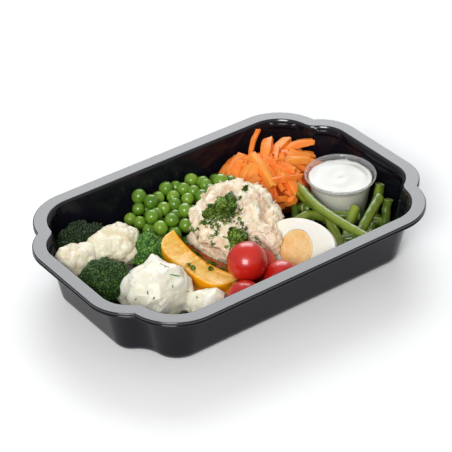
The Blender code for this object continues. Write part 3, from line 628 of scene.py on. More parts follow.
def make_peach(name, shape, material):
    """A wedge: level cut face above, round skin outside, and a face that faces the stone below."""
    along = Vector(shape["along"]).normalized()
    outward = Vector((0.0, 0.0, 1.0)).cross(along).normalized()
    if outward.x > 0.0:
        outward = -outward
    down = Vector((0.0, 0.0, -1.0))
    down = (down - along * down.dot(along)).normalized()
    opening = math.radians(shape["opening"])
    seed = Vector(shape["centre"])
    rings, skins = [], []
    for station in range(PEACH_STATIONS + 1):
        share = -1.0 + 2.0 * station / PEACH_STATIONS
        bow = math.sqrt(max(0.0, 1.0 - (abs(share) * 0.995) ** 4.0))
        reach = shape["reach"] * (0.27 + 0.73 * bow)
        hollow = shape["hollow"] * (1.0 - share ** 2)
        base = seed + along * share * shape["half"]
        inner = base + (outward * math.cos(opening / 2) + down * math.sin(opening / 2)) * hollow
        ring = []
        for step in range(FACE_STEPS + 1):
            part = step / FACE_STEPS
            edge = min(part, 1.0 - part) * 2.0
            point = inner.lerp(base + outward * reach, part)
            strings = noise.noise(Vector((share * shape["half"] * 0.22, part * 1.2, 3.0)) + seed)
            pits = abs(noise.noise(point * 0.3)) * smooth_step(1.0 - part * 2.2)
            sag = 0.35 * strings - 1.2 * pits
            rim = 0.75 * (1.0 - smooth_step(part * 2.6))
            ring.append((point - Vector((0.0, 0.0, 1.0)) * (0.35 - sag) * smooth_step(edge * 3.0) * bow, rim))
        for step in range(1, SKIN_STEPS + 1):
            angle = opening * step / SKIN_STEPS
            swell = reach * (1.0 + 0.01 * noise.noise(base * 0.1 + Vector((0.0, 0.0, angle * 2.0))))
            ring.append((base + (outward * math.cos(angle) + down * math.sin(angle)) * swell, 1.0))
        far = ring[-1][0]
        for step in range(1, FACE_STEPS):
            ring.append((far.lerp(inner, step / FACE_STEPS), 0.0))
        rings.append([point for point, _ in ring])
        skins.append([skin for _, skin in ring])
    bm = bmesh.new()
    skin_layer = value_layer(bm, "skin")
    rows = loft(bm, rings)
    for row, values in zip(rows, skins):
        for vert, value in zip(row, values):
            vert[skin_layer] = value
    bmesh.ops.recalc_face_normals(bm, faces=bm.faces)
    return new_piece(name, bm, material)


# %% Flesh, skin and shaded slices
peach, tree, shader = new_food("peach_flesh", 0.3, 0.3, 4.0, Coat_Weight=0.2, Coat_Roughness=0.2)
strings = grain(tree, 2.4, object_place(tree, (0.45, 1.0, 1.0), (0.0, 0.0, 0.2)), detail=5.0, distortion=1.2)
flesh = ramp(tree, strings, (0.34, (0.82, 0.36, 0.030)), (0.5, (0.86, 0.49, 0.075)),
             (0.68, (0.90, 0.66, 0.21)))
gold = ramp(tree, grain(tree, 8.0), (0.35, (0.95, 0.37, 0.002)), (0.7, (0.97, 0.50, 0.004)))
is_skin = ramp(tree, attribute(tree, "skin"), (0.35, 0.0), (0.65, 1.0))
paint(tree, shader, blend(tree, is_skin, flesh, gold))
emboss(tree, shader, strings, 0.3, 0.15)
wedges = [settle(make_peach("juicy_" + name, shape, peach), "peach", name) for name, shape in PEACHES.items()]
# The slice at the back lies under the tuna, so it gets a much darker copy of the peach colours: painted shade
shaded_peach, tree, shader = new_food("peach_in_shade", 0.25, 0.2, 4.0)
flow = grain(tree, 3.0, detail=4.0)
paint(tree, shader, ramp(tree, flow, (0.35, (0.30, 0.05, 0.004)), (0.7, (0.58, 0.15, 0.012))))
wedges[1].data.materials[0] = shaded_peach

# %% [markdown]
# ## Soft foods follow their plain solids
#
# The salads and florets already have the right place and outline in the plain model, where each solid
# makes room for its neighbours. So each soft food starts as a copy of its solid. A voxel remesh gives it
# an even skin of small faces, and a few lines of noise then push that skin in and out: wide lumps
# first, then the fine texture. How far each point was pushed is kept as a value on the mesh, so that
# the material can colour hollows and ridges differently.


# %% Give a solid an even skin and carve it
def in_fixed_order(mesh):
    """Copy a mesh with its points and faces numbered by place, because the remesher's order varies."""
    order = sorted(range(len(mesh.vertices)), key=lambda index: mesh.vertices[index].co[:])
    rank = {old: new for new, old in enumerate(order)}
    faces = []
    for face in mesh.polygons:
        corners = [rank[index] for index in face.vertices]
        first = corners.index(min(corners))
        faces.append(corners[first:] + corners[:first])
    fixed = bpy.data.meshes.new(mesh.name)
    fixed.from_pydata([mesh.vertices[index].co for index in order], [], sorted(faces))
    fixed.materials.append(mesh.materials[0])
    return fixed


def even_skin(name, solid, cell, smoothing, material):
    """Copy a plain solid as a piece with an even, softened mesh of small faces."""
    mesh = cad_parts[solid].data.copy()
    bm = bmesh.new()
    bm.from_mesh(mesh)
    bmesh.ops.remove_doubles(bm, verts=bm.verts, dist=0.00001)
    bm.to_mesh(mesh)
    bm.free()
    mesh.materials.clear()
    mesh.materials.append(material)
    piece = add_object(name, mesh)
    remesh = piece.modifiers.new("Even", "REMESH")
    remesh.mode = "VOXEL"
    remesh.voxel_size = cell * MM
    apply_modifiers(piece)
    piece.data = in_fixed_order(piece.data)
    soften = piece.modifiers.new("Soften", "SMOOTH")
    soften.factor = 0.6
    soften.iterations = smoothing
    apply_modifiers(piece)
    piece.data.shade_smooth()
    return piece


def carve(piece, depth_at):
    """Push every point along its normal, in millimetres, and keep the push as a value."""
    mesh = piece.data
    normals = [vert.normal.copy() for vert in mesh.vertices]
    push = mesh.attributes.new("push", "FLOAT", "POINT")
    for vert, normal, kept in zip(mesh.vertices, normals, push.data):
        depth = depth_at(vert.co / MM, normal)
        vert.co += normal * depth * MM
        kept.value = depth
    mesh.shade_smooth()


def hollows(tree, gain, deep, shallow):
    """Where the carving went in: 1 in deep hollows, 0 on ridges."""
    height = maths(tree, "ADD", maths(tree, "MULTIPLY", attribute(tree, "push"), gain), 0.5)
    return ramp(tree, height, (deep, 1.0), (shallow, 0.0))


# %% Noises to carve with
def ridges(point, size, seed):
    """Ridged noise from 0 to 1, with ridges of about a size in millimetres."""
    return 1.0 - abs(noise.noise(point / size + Vector((seed, seed * 1.7, seed * 0.3)))) * 2.2


def domes(point, size, seed):
    """Rounded bumps from 0 to 1 with sharp valleys between them, of about a size in millimetres."""
    distances, _ = noise.voronoi(point / size + Vector((seed, 0.0, seed)))
    return max(0.0, 1.0 - distances[0] * distances[0] * 1.6)


# %% [markdown]
# ## Place small pieces one by one
#
# Buds, flakes, leaves and peas repeat hundreds of times. Their places come first: a mesh of
# single points that carry a turn, a size and a tint. One Geometry Nodes tree, with named inputs, puts a
# small shape on each point and ends in Realize Instances and Set Material. The tint travels with the
# shape, so a material can make every pea a slightly different green. Over a surface the places are
# drawn with a fixed seed, and one that falls too near another is left out.


# %% Build the placing tree
def placing_tree():
    """Node group: put one object on every point of a mesh, with its turn and size."""
    group = bpy.data.node_groups.new("place_on_points", "GeometryNodeTree")
    for name, way, kind in (("Geometry", "INPUT", "Geometry"), ("Small piece", "INPUT", "Object"),
                            ("Overall size", "INPUT", "Float"), ("Finish", "INPUT", "Material"),
                            ("Geometry", "OUTPUT", "Geometry")):
        group.interface.new_socket(name, in_out=way, socket_type="NodeSocket" + kind)
    nodes, links = group.nodes, group.links
    given = nodes.new("NodeGroupInput").outputs
    result = nodes.new("NodeGroupOutput").inputs
    points = nodes.new("GeometryNodeMeshToPoints")
    links.new(given["Geometry"], points.inputs["Mesh"])
    piece = nodes.new("GeometryNodeObjectInfo")
    links.new(given["Small piece"], piece.inputs["Object"])
    carried = {}
    for name, kind in (("turn", "FLOAT_VECTOR"), ("size", "FLOAT")):
        node = nodes.new("GeometryNodeInputNamedAttribute")
        node.data_type = kind
        node.inputs["Name"].default_value = name
        carried[name] = node.outputs["Attribute"]
    scale = nodes.new("ShaderNodeMath")
    scale.operation = "MULTIPLY"
    links.new(carried["size"], scale.inputs[0])
    links.new(given["Overall size"], scale.inputs[1])
    place = nodes.new("GeometryNodeInstanceOnPoints")
    links.new(points.outputs["Points"], place.inputs["Points"])
    links.new(piece.outputs["Geometry"], place.inputs["Instance"])
    rotation = nodes.new("FunctionNodeEulerToRotation")
    links.new(carried["turn"], rotation.inputs[0])
    links.new(rotation.outputs[0], place.inputs["Rotation"])
    links.new(scale.outputs[0], place.inputs["Scale"])
    real = nodes.new("GeometryNodeRealizeInstances")
    links.new(place.outputs["Instances"], real.inputs["Geometry"])
    finish = nodes.new("GeometryNodeSetMaterial")
    links.new(real.outputs["Geometry"], finish.inputs["Geometry"])
    links.new(given["Finish"], finish.inputs["Material"])
    links.new(finish.outputs["Geometry"], result["Geometry"])
    return group


PLACING = placing_tree()


# %% Put small pieces on their points
def put_on_points(name, places, small, material):
    """Put a small piece at each place; a place is a point in millimetres, a turn, a size and a tint."""
    mesh = bpy.data.meshes.new(name)
    mesh.from_pydata([Vector(place[0]) * MM for place in places], [], [])
    kinds = {"turn": "FLOAT_VECTOR", "size": "FLOAT", "tint": "FLOAT"}
    for label, kind in kinds.items():
        mesh.attributes.new(label, kind, "POINT")
    # A new attribute moves the others in memory, so they are fetched by name once all are there
    turn, size, tint = (mesh.attributes[label] for label in kinds)
    for index, (_, angles, scale, shade) in enumerate(places):
        turn.data[index].vector = angles
        size.data[index].value = scale
        tint.data[index].value = shade
    piece = add_object(name, mesh)
    modifier = piece.modifiers.new("Place", "NODES")
    modifier.node_group = PLACING
    values = {"Small piece": small, "Overall size": 1.0, "Finish": material}
    for item in PLACING.interface.items_tree:
        if item.in_out == "INPUT" and item.name in values:
            modifier[item.identifier] = values[item.name]
    apply_modifiers(piece)
    piece.data.materials.clear()
    piece.data.materials.append(material)
    piece.data.shade_smooth()
    return piece


# %% Spread small pieces over a surface
def scatter(name, surface, keep_at, small, distance, share, sizes, lean, seed, material):
    """Spread a small piece where keep_at allows, no two nearer than a distance in millimetres."""
    rng = random.Random(seed)
    mesh = surface.data
    mesh.calc_loop_triangles()
    areas = [triangle.area for triangle in mesh.loop_triangles]
    draws = int(sum(areas) / (distance * MM) ** 2 * 12)
    taken, places = {}, []
    for triangle in rng.choices(mesh.loop_triangles, weights=areas, k=draws):
        first, second = sorted((rng.random(), rng.random()))
        corners = [mesh.vertices[index] for index in triangle.vertices]
        shares = (first, second - first, 1.0 - second)
        point = sum((corner.co * part for corner, part in zip(corners, shares)), Vector()) / MM
        normal = sum((corner.normal * part for corner, part in zip(corners, shares)), Vector()).normalized()
        cell = tuple(math.floor(value / distance) for value in point)
        around = itertools.product(*((step - 1, step, step + 1) for step in cell))
        if any((other - point).length < distance for here in around for other in taken.get(here, ())):
            continue
        taken.setdefault(cell, []).append(point)
        if rng.random() > share * keep_at(point, normal):
            continue
        turn = Euler((rng.uniform(-lean, lean), rng.uniform(-lean, lean), rng.uniform(-math.pi, math.pi)))
        upright = normal.to_track_quat("Z", "Y") @ turn.to_quaternion()
        places.append((point, upright.to_euler(), rng.uniform(*sizes), rng.random()))
    return put_on_points(name, places, small, material)


# %% Make and merge small pieces
def small_shape(name, bm):
    """Keep a shape in millimetres as an object that is only copied from."""
    return bpy.data.objects.new(name, in_metres(name, bm))


def merge_into(piece, *others):
    """Join other plain objects' meshes into a piece, keeping its materials in order."""
    bm = bmesh.new()
    bm.from_mesh(piece.data)
    for other in others:
        slots = []
        for material in other.data.materials:
            if material.name not in piece.data.materials:
                piece.data.materials.append(material)
            slots.append(piece.data.materials.find(material.name))
        before = len(bm.faces)
        bm.from_mesh(other.data)
        bm.faces.ensure_lookup_table()
        for face in bm.faces[before:]:
            face.material_index = slots[min(face.material_index, len(slots) - 1)]
        bpy.data.objects.remove(other)
    bm.to_mesh(piece.data)
    bm.free()
    piece.data.shade_smooth()
    return piece


# %% [markdown]
# ## Tuna salad
#
# Flaked tuna bound with a little mayonnaise: a mound pressed by a spoon, torn into fibres at every
# edge. The mound is carved with wide lumps and ridged noise, and loose flakes are then scattered over
# it so that its outline is ragged. Hollows are painted pinker and darker, partly the flesh below the
# dressing and partly painted shade; ridges carry the pale dressing.

# %% Carve the tuna
SPOON_DENT = Vector((3.0, 32.0, 36.0))


def tuna_depth(point, normal):
    """Lumps, torn ridges and fine fibres."""
    lumps = 3.2 * noise.noise(point / 12.0 + Vector((3.0, 0.0, 0.0))) + 2.2 * domes(point, 8.0, 3.0)
    wrapped = point + 3.0 * noise.noise_vector(point / 7.0)
    torn = 1.3 * ridges(wrapped, 6.0, 2.0) * smooth_step(0.3 + 1.8 * noise.noise(point / 9.0))
    torn += 0.7 * noise.noise(wrapped / 2.6)
    shreds = 0.35 * ridges(Vector((wrapped.x / 2.0, wrapped.y / 4.2, wrapped.z / 2.4)), 1.0, 7.0)
    dent = 2.6 * smooth_step((17.0 - (point - SPOON_DENT).length) / 12.0)
    return lumps + torn + shreds + 0.10 * noise.noise(point / 0.9) - dent - 2.2


# %% Tear a flake
FLAKE_STEPS = 4


def make_flake(name, length, width, seed):
    """A thin torn flake, a little curled."""
    rng = random.Random(seed)
    rings = []
    for step in range(FLAKE_STEPS + 1):
        share = step / FLAKE_STEPS
        half = width * (0.25 + 0.75 * math.sin(math.pi * (0.1 + 0.8 * share))) * rng.uniform(0.75, 1.2) / 2.0
        x = length * (share - 0.5)
        z = 0.35 * math.sin(math.pi * share) + rng.uniform(-0.1, 0.1)
        thick = width * 0.22
        rings.append([(x, -half, z), (x, 0.0, z + thick), (x, half, z), (x, 0.0, z - thick)])
    bm = bmesh.new()
    loft(bm, rings)
    bmesh.ops.recalc_face_normals(bm, faces=bm.faces)
    return small_shape(name, bm)


# %% Pink flesh and pale dressing
tuna_finish, tree, shader = new_food("flaked_tuna", 0.42, 0.2, 3.0, Coat_Weight=0.12)
body = ramp(tree, grain(tree, 5.0, detail=4.0), (0.34, (0.88, 0.69, 0.48)), (0.5, (0.91, 0.77, 0.58)),
            (0.66, (0.94, 0.85, 0.69)))
# Carved hollows are painted pinker and darker: partly the flesh's own colour, partly painted shade
hollow = maths(tree, "MULTIPLY", hollows(tree, 0.2, 0.06, 0.36), 0.6)
colour = blend(tree, hollow, body, (0.66, 0.38, 0.22))
fibre = grain(tree, 0.8, object_place(tree, (1.0, 0.35, 0.8), (0.3, 0.0, 0.6)), detail=6.0, distortion=1.0)
colour = blend(tree, ramp(tree, fibre, (0.5, 0.0), (0.8, 0.35)), colour, (0.90, 0.82, 0.69))
egg_bits = ramp(tree, cells(tree, 6.5), (0.06, 1.0), (0.10, 0.0))
paint(tree, shader, blend(tree, maths(tree, "MULTIPLY", egg_bits, 0.8), colour, (0.92, 0.90, 0.82)))
emboss(tree, shader, fibre, 0.4, 0.6)

# %% Shape the tuna salad
tuna = even_skin("flaked_tuna_salad", "tuna_salad", 0.7, 6, tuna_finish)
carve(tuna, tuna_depth)


def on_tuna(point, normal):
    """Flakes show on the top and sides, not below."""
    return smooth_step((normal.z + 0.9) / 0.4)


flakes = []
for number, (length, width) in enumerate(((5.0, 1.7), (3.0, 1.2))):
    flake = make_flake("flake", length, width, 60 + number)
    flakes.append(scatter("tuna_flakes", tuna, on_tuna, flake, 2.4, 0.24, (0.45, 1.05), 0.7, 5 + number,
                          tuna_finish))
settle(merge_into(tuna, *flakes), "tuna_salad", "tuna_salad")

# %% [markdown]
# ## Potato salad
#
# Crushed potato in a creamy dressing, dropped from a spoon so that it ends in a torn peak. It is
# smoother than the tuna: wide soft folds, a few lumps of potato under the dressing, and chopped herbs
# that show as small green slivers and as faint spots below the surface.

# %% Carve the potato salad
PEAK = Vector((-63.0, -7.0, 36.0))
BULGE = Vector((-82.0, 2.0, 11.0))


def potato_depth(point, normal):
    """Soft folds, lumps under the dressing and small torn edges."""
    folds = 1.4 * noise.noise(point / 9.0 + Vector((1.0, 5.0, 0.0)))
    lumps = 1.2 * domes(point, 7.0, 4.0) * smooth_step(0.5 + noise.noise(point / 18.0))
    dragged = Vector((point.x * 0.6, point.y, point.z)) + 1.5 * noise.noise_vector(point / 9.0)
    smear = 0.6 * ridges(dragged, 8.0, 9.0)
    is_torn = smooth_step(0.1 + 1.7 * noise.noise(point / 8.0 + Vector((9.0, 0.0, 0.0))))
    torn = 1.1 * noise.noise(point / 1.9) * is_torn
    peak = (3.2 + 1.5 * noise.noise(point / 2.2)) * smooth_step((7.5 - (point - PEAK).length) / 7.0)
    bulge = 3.5 * smooth_step((15.0 - (point - BULGE).length) / 10.0)
    return folds + lumps + smear + torn + peak + bulge + 0.12 * noise.noise(point / 0.8) - 1.6


# %% Creamy dressing with faint herbs
potato_finish, tree, shader = new_food("creamy_potato_salad", 0.4, 0.25, 3.0, Coat_Weight=0.08,
                                       Coat_Roughness=0.25)
dressing = ramp(tree, grain(tree, 7.0), (0.35, (0.86, 0.84, 0.71)), (0.65, (0.89, 0.875, 0.80)))
# Carved hollows are painted darker and yellower: painted shade
hollow = maths(tree, "MULTIPLY", hollows(tree, 0.3, 0.25, 0.5), 0.4)
colour = blend(tree, hollow, dressing, (0.76, 0.72, 0.48))
slanted = object_place(tree, (1.0, 0.5, 1.0), (0.0, 0.0, 0.7))
spots = ramp(tree, cells(tree, 5.0, slanted), (0.04, 1.0), (0.22, 0.0))
patchy = ramp(tree, grain(tree, 9.0), (0.48, 0.0), (0.6, 0.45))
herb_spots = maths(tree, "MULTIPLY", spots, patchy)
paint(tree, shader, blend(tree, herb_spots, colour, (0.48, 0.56, 0.42)))
emboss(tree, shader, grain(tree, 1.8, detail=4.0), 0.4, 0.4)

# %% Shape the potato salad and sprinkle its herbs
potato = even_skin("creamy_potato_salad", "potato_salad", 0.75, 8, potato_finish)
carve(potato, potato_depth)
herb_finish, tree, shader = new_food("chopped_herbs", 0.45, 0.1, 1.0)
paint(tree, shader, ramp(tree, grain(tree, 2.5), (0.35, (0.045, 0.14, 0.015)), (0.65, (0.16, 0.33, 0.05))))
sliver = make_flake("sliver", 1.6, 0.55, 71)


def on_top(point, normal):
    """Herbs land on what faces up."""
    return smooth_step((normal.z + 0.2) / 0.4)


herbs = scatter("herbs_in_salad", potato, on_top, sliver, 4.5, 0.2, (0.7, 1.5), 0.3, 12, herb_finish)

# %% Lay a chive and a strip of peel
STRIP_STEPS = 8
ABOVE_ALL = 80.0
DOWN = Vector((0.0, 0.0, -1.0))


def search_tree(mesh):
    """A tree that finds where a ray meets a mesh, and what is nearest."""
    return BVHTree.FromPolygons([vert.co.copy() for vert in mesh.vertices],
                                [tuple(face.vertices) for face in mesh.polygons])


def lay_strip(name, surface, start, end, width, material):
    """Lay a short flat strip over a surface between two places seen from above."""
    tree = search_tree(surface.data)
    start, end = Vector(start), Vector(end)
    across = Vector((start.y - end.y, end.x - start.x, 0.0)).normalized() * width / 2.0
    rings = []
    for step in range(STRIP_STEPS + 1):
        spot = start.lerp(end, step / STRIP_STEPS)
        hit = tree.ray_cast(Vector((spot.x, spot.y, ABOVE_ALL)) * MM, DOWN)[0]
        spot = Vector((spot.x, spot.y, hit.z / MM))
        slim = 0.45 + 0.55 * math.sin(math.pi * step / STRIP_STEPS)
        rings.append([spot + across * slim, spot + Vector((0.0, 0.0, 0.45)), spot - across * slim,
                      spot - Vector((0.0, 0.0, 0.6))])
    bm = bmesh.new()
    loft(bm, rings)
    bmesh.ops.recalc_face_normals(bm, faces=bm.faces)
    return new_piece(name, bm, material)


peel_finish, tree, shader = new_material("potato_peel", 0.4)
paint(tree, shader, ramp(tree, grain(tree, 2.0), (0.35, (0.30, 0.24, 0.17)), (0.65, (0.46, 0.42, 0.36))))
chive = lay_strip("chive", potato, (-64.0, -26.5), (-59.0, -28.5), 1.1, herb_finish)
peel = lay_strip("peel", potato, (-63.5, -16.0), (-62.0, -22.5), 1.3, peel_finish)
settle(merge_into(potato, herbs, chive, peel), "potato_salad", "potato_salad")

# %% [markdown]
# ## Broccoli and cauliflower
#
# Both are heads of flower buds on a branching stalk. On cauliflower the buds are closed into smooth
# pale curds, round bumps on larger round bumps, so carving alone gives it. On broccoli every bud is a
# separate dark bead of about a millimetre, so beads are scattered over the carved head.

# %% Carve the cauliflower
CURDS_MEET = Vector((-80.0, 31.0, 25.0))


def curd_depth(point, normal):
    """Small domes on large domes, and a swelling where the two pieces meet."""
    large = domes(point, 7.0, 1.0)
    small = domes(point, 2.6, 6.0)
    swelling = 4.0 * smooth_step((14.0 - (point - CURDS_MEET).length) / 9.0)
    return 1.9 * large + 0.75 * small * (0.4 + 0.6 * large) + 0.12 * noise.noise(point / 0.6) + swelling - 1.3


# %% Shape the cauliflower
curd_finish, tree, shader = new_food("cauliflower_curd", 0.42, 0.3, 3.0, Coat_Weight=0.1)
curd_shade = ramp(tree, grain(tree, 6.0), (0.35, (0.79, 0.725, 0.53)), (0.65, (0.83, 0.78, 0.62)))
# Valleys between the curds are painted darker and browner: painted shade
painted_valley_shade = maths(tree, "MULTIPLY", hollows(tree, 0.4, 0.2, 0.55), 0.5)
paint(tree, shader, blend(tree, painted_valley_shade, curd_shade, (0.70, 0.58, 0.32)))
emboss(tree, shader, maths(tree, "SUBTRACT", 1.0, cells(tree, 0.9)), 0.25, 0.5)
for name in ("cauliflower_right", "cauliflower_left"):
    head = even_skin("curds_" + name, name, 0.6, 5, curd_finish)
    carve(head, curd_depth)
    settle(head, "cauliflower", name)


# %% Carve the broccoli
def head_depth(point, normal):
    """Clumps of buds with deep gaps between them."""
    return 2.6 * domes(point, 6.5, 3.0) + 0.8 * domes(point, 3.2, 8.0) - 2.2


def on_head(point, normal):
    """Buds grow on the head's top and sides, not below it."""
    return smooth_step((normal.z + 0.45) / 0.3)


# %% Cover the broccoli with buds
bm = bmesh.new()
bmesh.ops.create_uvsphere(bm, u_segments=7, v_segments=4, radius=0.5)
for vert in bm.verts:
    vert.co.z = vert.co.z * 1.3 + 0.25
bud = small_shape("bud", bm)
# How light each floret is painted, and the seed that places its buds: the floret at the back is painted
# darker as painted shade, the one at the side lighter as painted light
BROCCOLI = {"broccoli_back": (0.3, 3), "broccoli_front": (0.75, 4), "broccoli_side": (2.1, 5)}
for name, (light, seed) in BROCCOLI.items():
    bud_finish, tree, shader = new_material("buds_of_" + name, 0.45, Specular_IOR_Level=0.3)
    # The floret's greens are scaled by its painted light: painted shade at the back, painted light at the
    # side
    dark = tuple(light * share for share in (0.014, 0.045, 0.008))
    fresh = tuple(light * share for share in (0.085, 0.19, 0.030))
    paint(tree, shader, ramp(tree, grain(tree, 1.8, detail=2.0), (0.42, dark), (0.66, fresh)))
    stalk_finish, tree, shader = new_food("stalk_of_" + name, 0.45, 0.1, 2.0)
    pale = tuple(min(0.5, light * share) for share in (0.10, 0.20, 0.035))
    paint(tree, shader, ramp(tree, grain(tree, 5.0), (0.35, dark), (0.7, pale)))
    head = even_skin("florets_" + name, name, 0.9, 5, stalk_finish)
    carve(head, head_depth)
    buds = scatter("buds", head, on_head, bud, 1.45, 1.0, (1.5, 2.3), 0.35, seed, bud_finish)
    settle(merge_into(head, buds), "broccoli", name)

# %% [markdown]
# ## Find free places
#
# Peas and carrot sticks may not run into the plain solids next to them. Search trees of those
# solids tell how near a point is, and a rounded mound tells how high each heap stands.

# %% Search the solids
ALMOST_UP = Vector((0.01, 0.013, 1.0)).normalized()
ALMOST_DOWN = Vector((0.01, 0.013, -1.0)).normalized()


def solid_trees(*solids):
    """Search trees of plain solids, in metres."""
    return [search_tree(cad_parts[solid].data) for solid in solids]


def is_free(point, radius, trees):
    """Tell whether a ball in millimetres stays clear of solids."""
    place = Vector(point) * MM
    for tree in trees:
        away = tree.find_nearest(place)[3]
        if away < radius * MM:
            return False
        above = tree.ray_cast(place, ALMOST_UP)
        below = tree.ray_cast(place, ALMOST_DOWN)
        if above[0] is not None and below[0] is not None and above[1].z > 0.0 and below[1].z < 0.0:
            return False
    return True


def mound_height(mound, x, y):
    """Height of a rounded heap over a point, or None beside it."""
    u = abs((x - mound["centre"][0]) / mound["half"][0])
    v = abs((y - mound["centre"][1]) / mound["half"][1])
    inside = 1.0 - u ** 3 - v ** 3
    if inside <= 0.0:
        return None
    return mound["foot"] + mound["rise"] * inside ** (1.0 / 3.0)


# %% [markdown]
# ## Peas
#
# A cooked pea is a ball of 8 to 10 mm, flattened a little where it sat against its neighbours in the
# pod, with a small dimple. The peas that show from the front have their own places, because the eye
# counts them, and the rest of the heap is filled in layers below them. No two balls may meet.

# %% Where the peas lie
PEA_MOUND = dict(centre=(-1.0, 49.0), half=(40.0, 29.0), foot=4.0, rise=21.0)
FRONT_PEAS = (
    (-25.5, 61.0, 27.8, 4.8), (-22.5, 52.0, 27.3, 4.6), (-29.5, 56.0, 22.6, 4.1), (-36.0, 55.7, 17.8, 4.1),
    (-34.5, 47.8, 18.8, 4.2), (-31.2, 39.0, 26.5, 4.4), (-31.0, 30.3, 22.7, 4.7), (-13.3, 57.5, 23.5, 4.1),
    (-17.8, 45.5, 23.5, 4.4), (-5.3, 60.5, 25.6, 4.6), (-5.5, 52.4, 23.5, 4.3), (-9.7, 45.2, 23.7, 4.2),
    (-22.9, 29.6, 25.5, 4.4), (2.5, 61.0, 23.3, 4.1), (3.3, 53.6, 25.1, 4.4), (-0.7, 43.5, 24.5, 4.2),
    (-9.4, 34.5, 24.6, 4.5), (-16.7, 23.7, 22.2, 4.2), (14.3, 60.3, 24.2, 4.5), (17.5, 52.5, 25.2, 4.2),
    (6.2, 46.8, 26.0, 4.0), (5.5, 36.8, 28.0, 4.3), (15.5, 46.5, 26.8, 4.3), (13.0, 38.9, 28.1, 4.2),
    (24.2, 42.1, 28.5, 5.0), (32.5, 43.0, 24.5, 4.2), (-2.1, 36.4, 19.9, 4.0), (-34.3, 38.5, 18.3, 4.1),
    (-25.3, 23.4, 19.8, 4.2), (-15.4, 36.3, 22.0, 4.0), (-35.9, 26.1, 16.6, 4.1), (-24.5, 44.0, 23.0, 4.1),
)
LAYERS = (5.6, 12.4, 19.2)
LAYER_SPACING = 8.9
ROW_SPACING = LAYER_SPACING * 0.866


# %% Shape a pea
PEA_SWELL = 1.003743


def make_pea_shape(name, seed):
    """A ball of radius 1 with flats where other peas pressed on it, and a dimple."""
    rng = random.Random(seed)
    flats = [Vector((rng.uniform(-1, 1), rng.uniform(-1, 1), rng.uniform(-0.6, 0.6))).normalized()
             for _ in range(3)]
    dimple = Vector((rng.uniform(-0.5, 0.5), rng.uniform(-0.5, 0.5), 1.0)).normalized()
    bm = bmesh.new()
    bmesh.ops.create_icosphere(bm, subdivisions=3, radius=1.0)
    for vert in bm.verts:
        direction = vert.co.normalized()
        reach = 1.0 + 0.02 * noise.noise(direction * 2.0 + Vector((seed, 0.0, 0.0)))
        for flat in flats:
            over = max(0.0, direction.dot(flat) - 0.80)
            reach -= over * 0.32
        reach -= 0.05 * math.exp(-((1.0 - direction.dot(dimple)) / 0.02) ** 2)
        vert.co = direction * reach * PEA_SWELL
    return small_shape(name, bm)


# %% Fill the heap
def pea_places():
    """Front peas first, then layers of peas below and behind them wherever one fits."""
    rng = random.Random(3)
    trees = solid_trees("tuna_salad", "carrots", "cauliflower_right", "broccoli_side", "broccoli_back",
                       "peach_slice_back", "peach_wedge")
    wall = solid_trees("tray")
    kept = [(Vector(pea[:3]), pea[3]) for pea in FRONT_PEAS]
    for height in reversed(LAYERS):
        for row in range(-5, 6):
            for column in range(-6, 7):
                across = LAYER_SPACING * (column + 0.5 * (row % 2))
                x = PEA_MOUND["centre"][0] + across + rng.uniform(-1.2, 1.2)
                y = PEA_MOUND["centre"][1] + ROW_SPACING * row + rng.uniform(-1.2, 1.2)
                point = Vector((x, y, height + rng.uniform(-1.0, 1.0)))
                radius = rng.uniform(4.0, 4.6)
                top = mound_height(PEA_MOUND, x, y)
                if top is None or point.z > top + 0.5:
                    continue
                if min((point - other).length - radius - reach for other, reach in kept) < -0.5:
                    continue
                if not inside_tray(point, radius):
                    continue
                if is_free(point, radius - 0.8, trees) and is_free(point, radius - 0.2, wall):
                    kept.append((point, radius))
    return kept


# %% Cook and heap the peas
pea_finish, tree, shader = new_food("cooked_peas", 0.24, 0.25, 2.0, Coat_Weight=0.25, Coat_Roughness=0.15)
own = ramp(tree, attribute(tree, "tint"), (0.0, (0.057, 0.158, 0.007)), (0.5, (0.103, 0.245, 0.012)),
           (1.0, (0.190, 0.340, 0.026)))
patch = ramp(tree, grain(tree, 3.5, detail=3.0), (0.4, 0.0), (0.75, 0.55))
paint(tree, shader, blend(tree, patch, own, (0.26, 0.40, 0.04)))
emboss(tree, shader, grain(tree, 1.6, detail=3.0), 0.12, 0.25)
pea_shapes = [make_pea_shape("pea_shape", seed) for seed in (1, 2, 3)]
rng = random.Random(17)
groups = [[], [], []]
for number, (point, radius) in enumerate(pea_places()):
    angles = (rng.uniform(-0.6, 0.6), rng.uniform(-0.6, 0.6), rng.uniform(0.0, 6.28))
    groups[number % 3].append((point, angles, radius, rng.random()))
batches = [put_on_points("peas_batch", group, shape, pea_finish) for group, shape in zip(groups, pea_shapes)]
batches[0].name = "heap_of_peas"
settle(merge_into(batches[0], *batches[1:]), "peas", "peas")
print("peas in the heap:", sum(len(group) for group in groups))

# %% [markdown]
# ## Carrot sticks
#
# The carrots were cut by hand into thick matchsticks: no section is square, edges are soft from
# cooking, ends are torn or cut aslant, and a few thin shreds stick out. Each stick is lofted along a
# slightly bowed line with its own section, and carries its own tint. A plain dome below them keeps the
# tray from showing between the sticks; it is painted a darker red, painted shade for the depths of the heap.

# %% Where the carrot sticks lie
CARROT_MOUND = dict(centre=(65.0, 43.0), half=(35.0, 26.0), foot=2.0, rise=28.0)
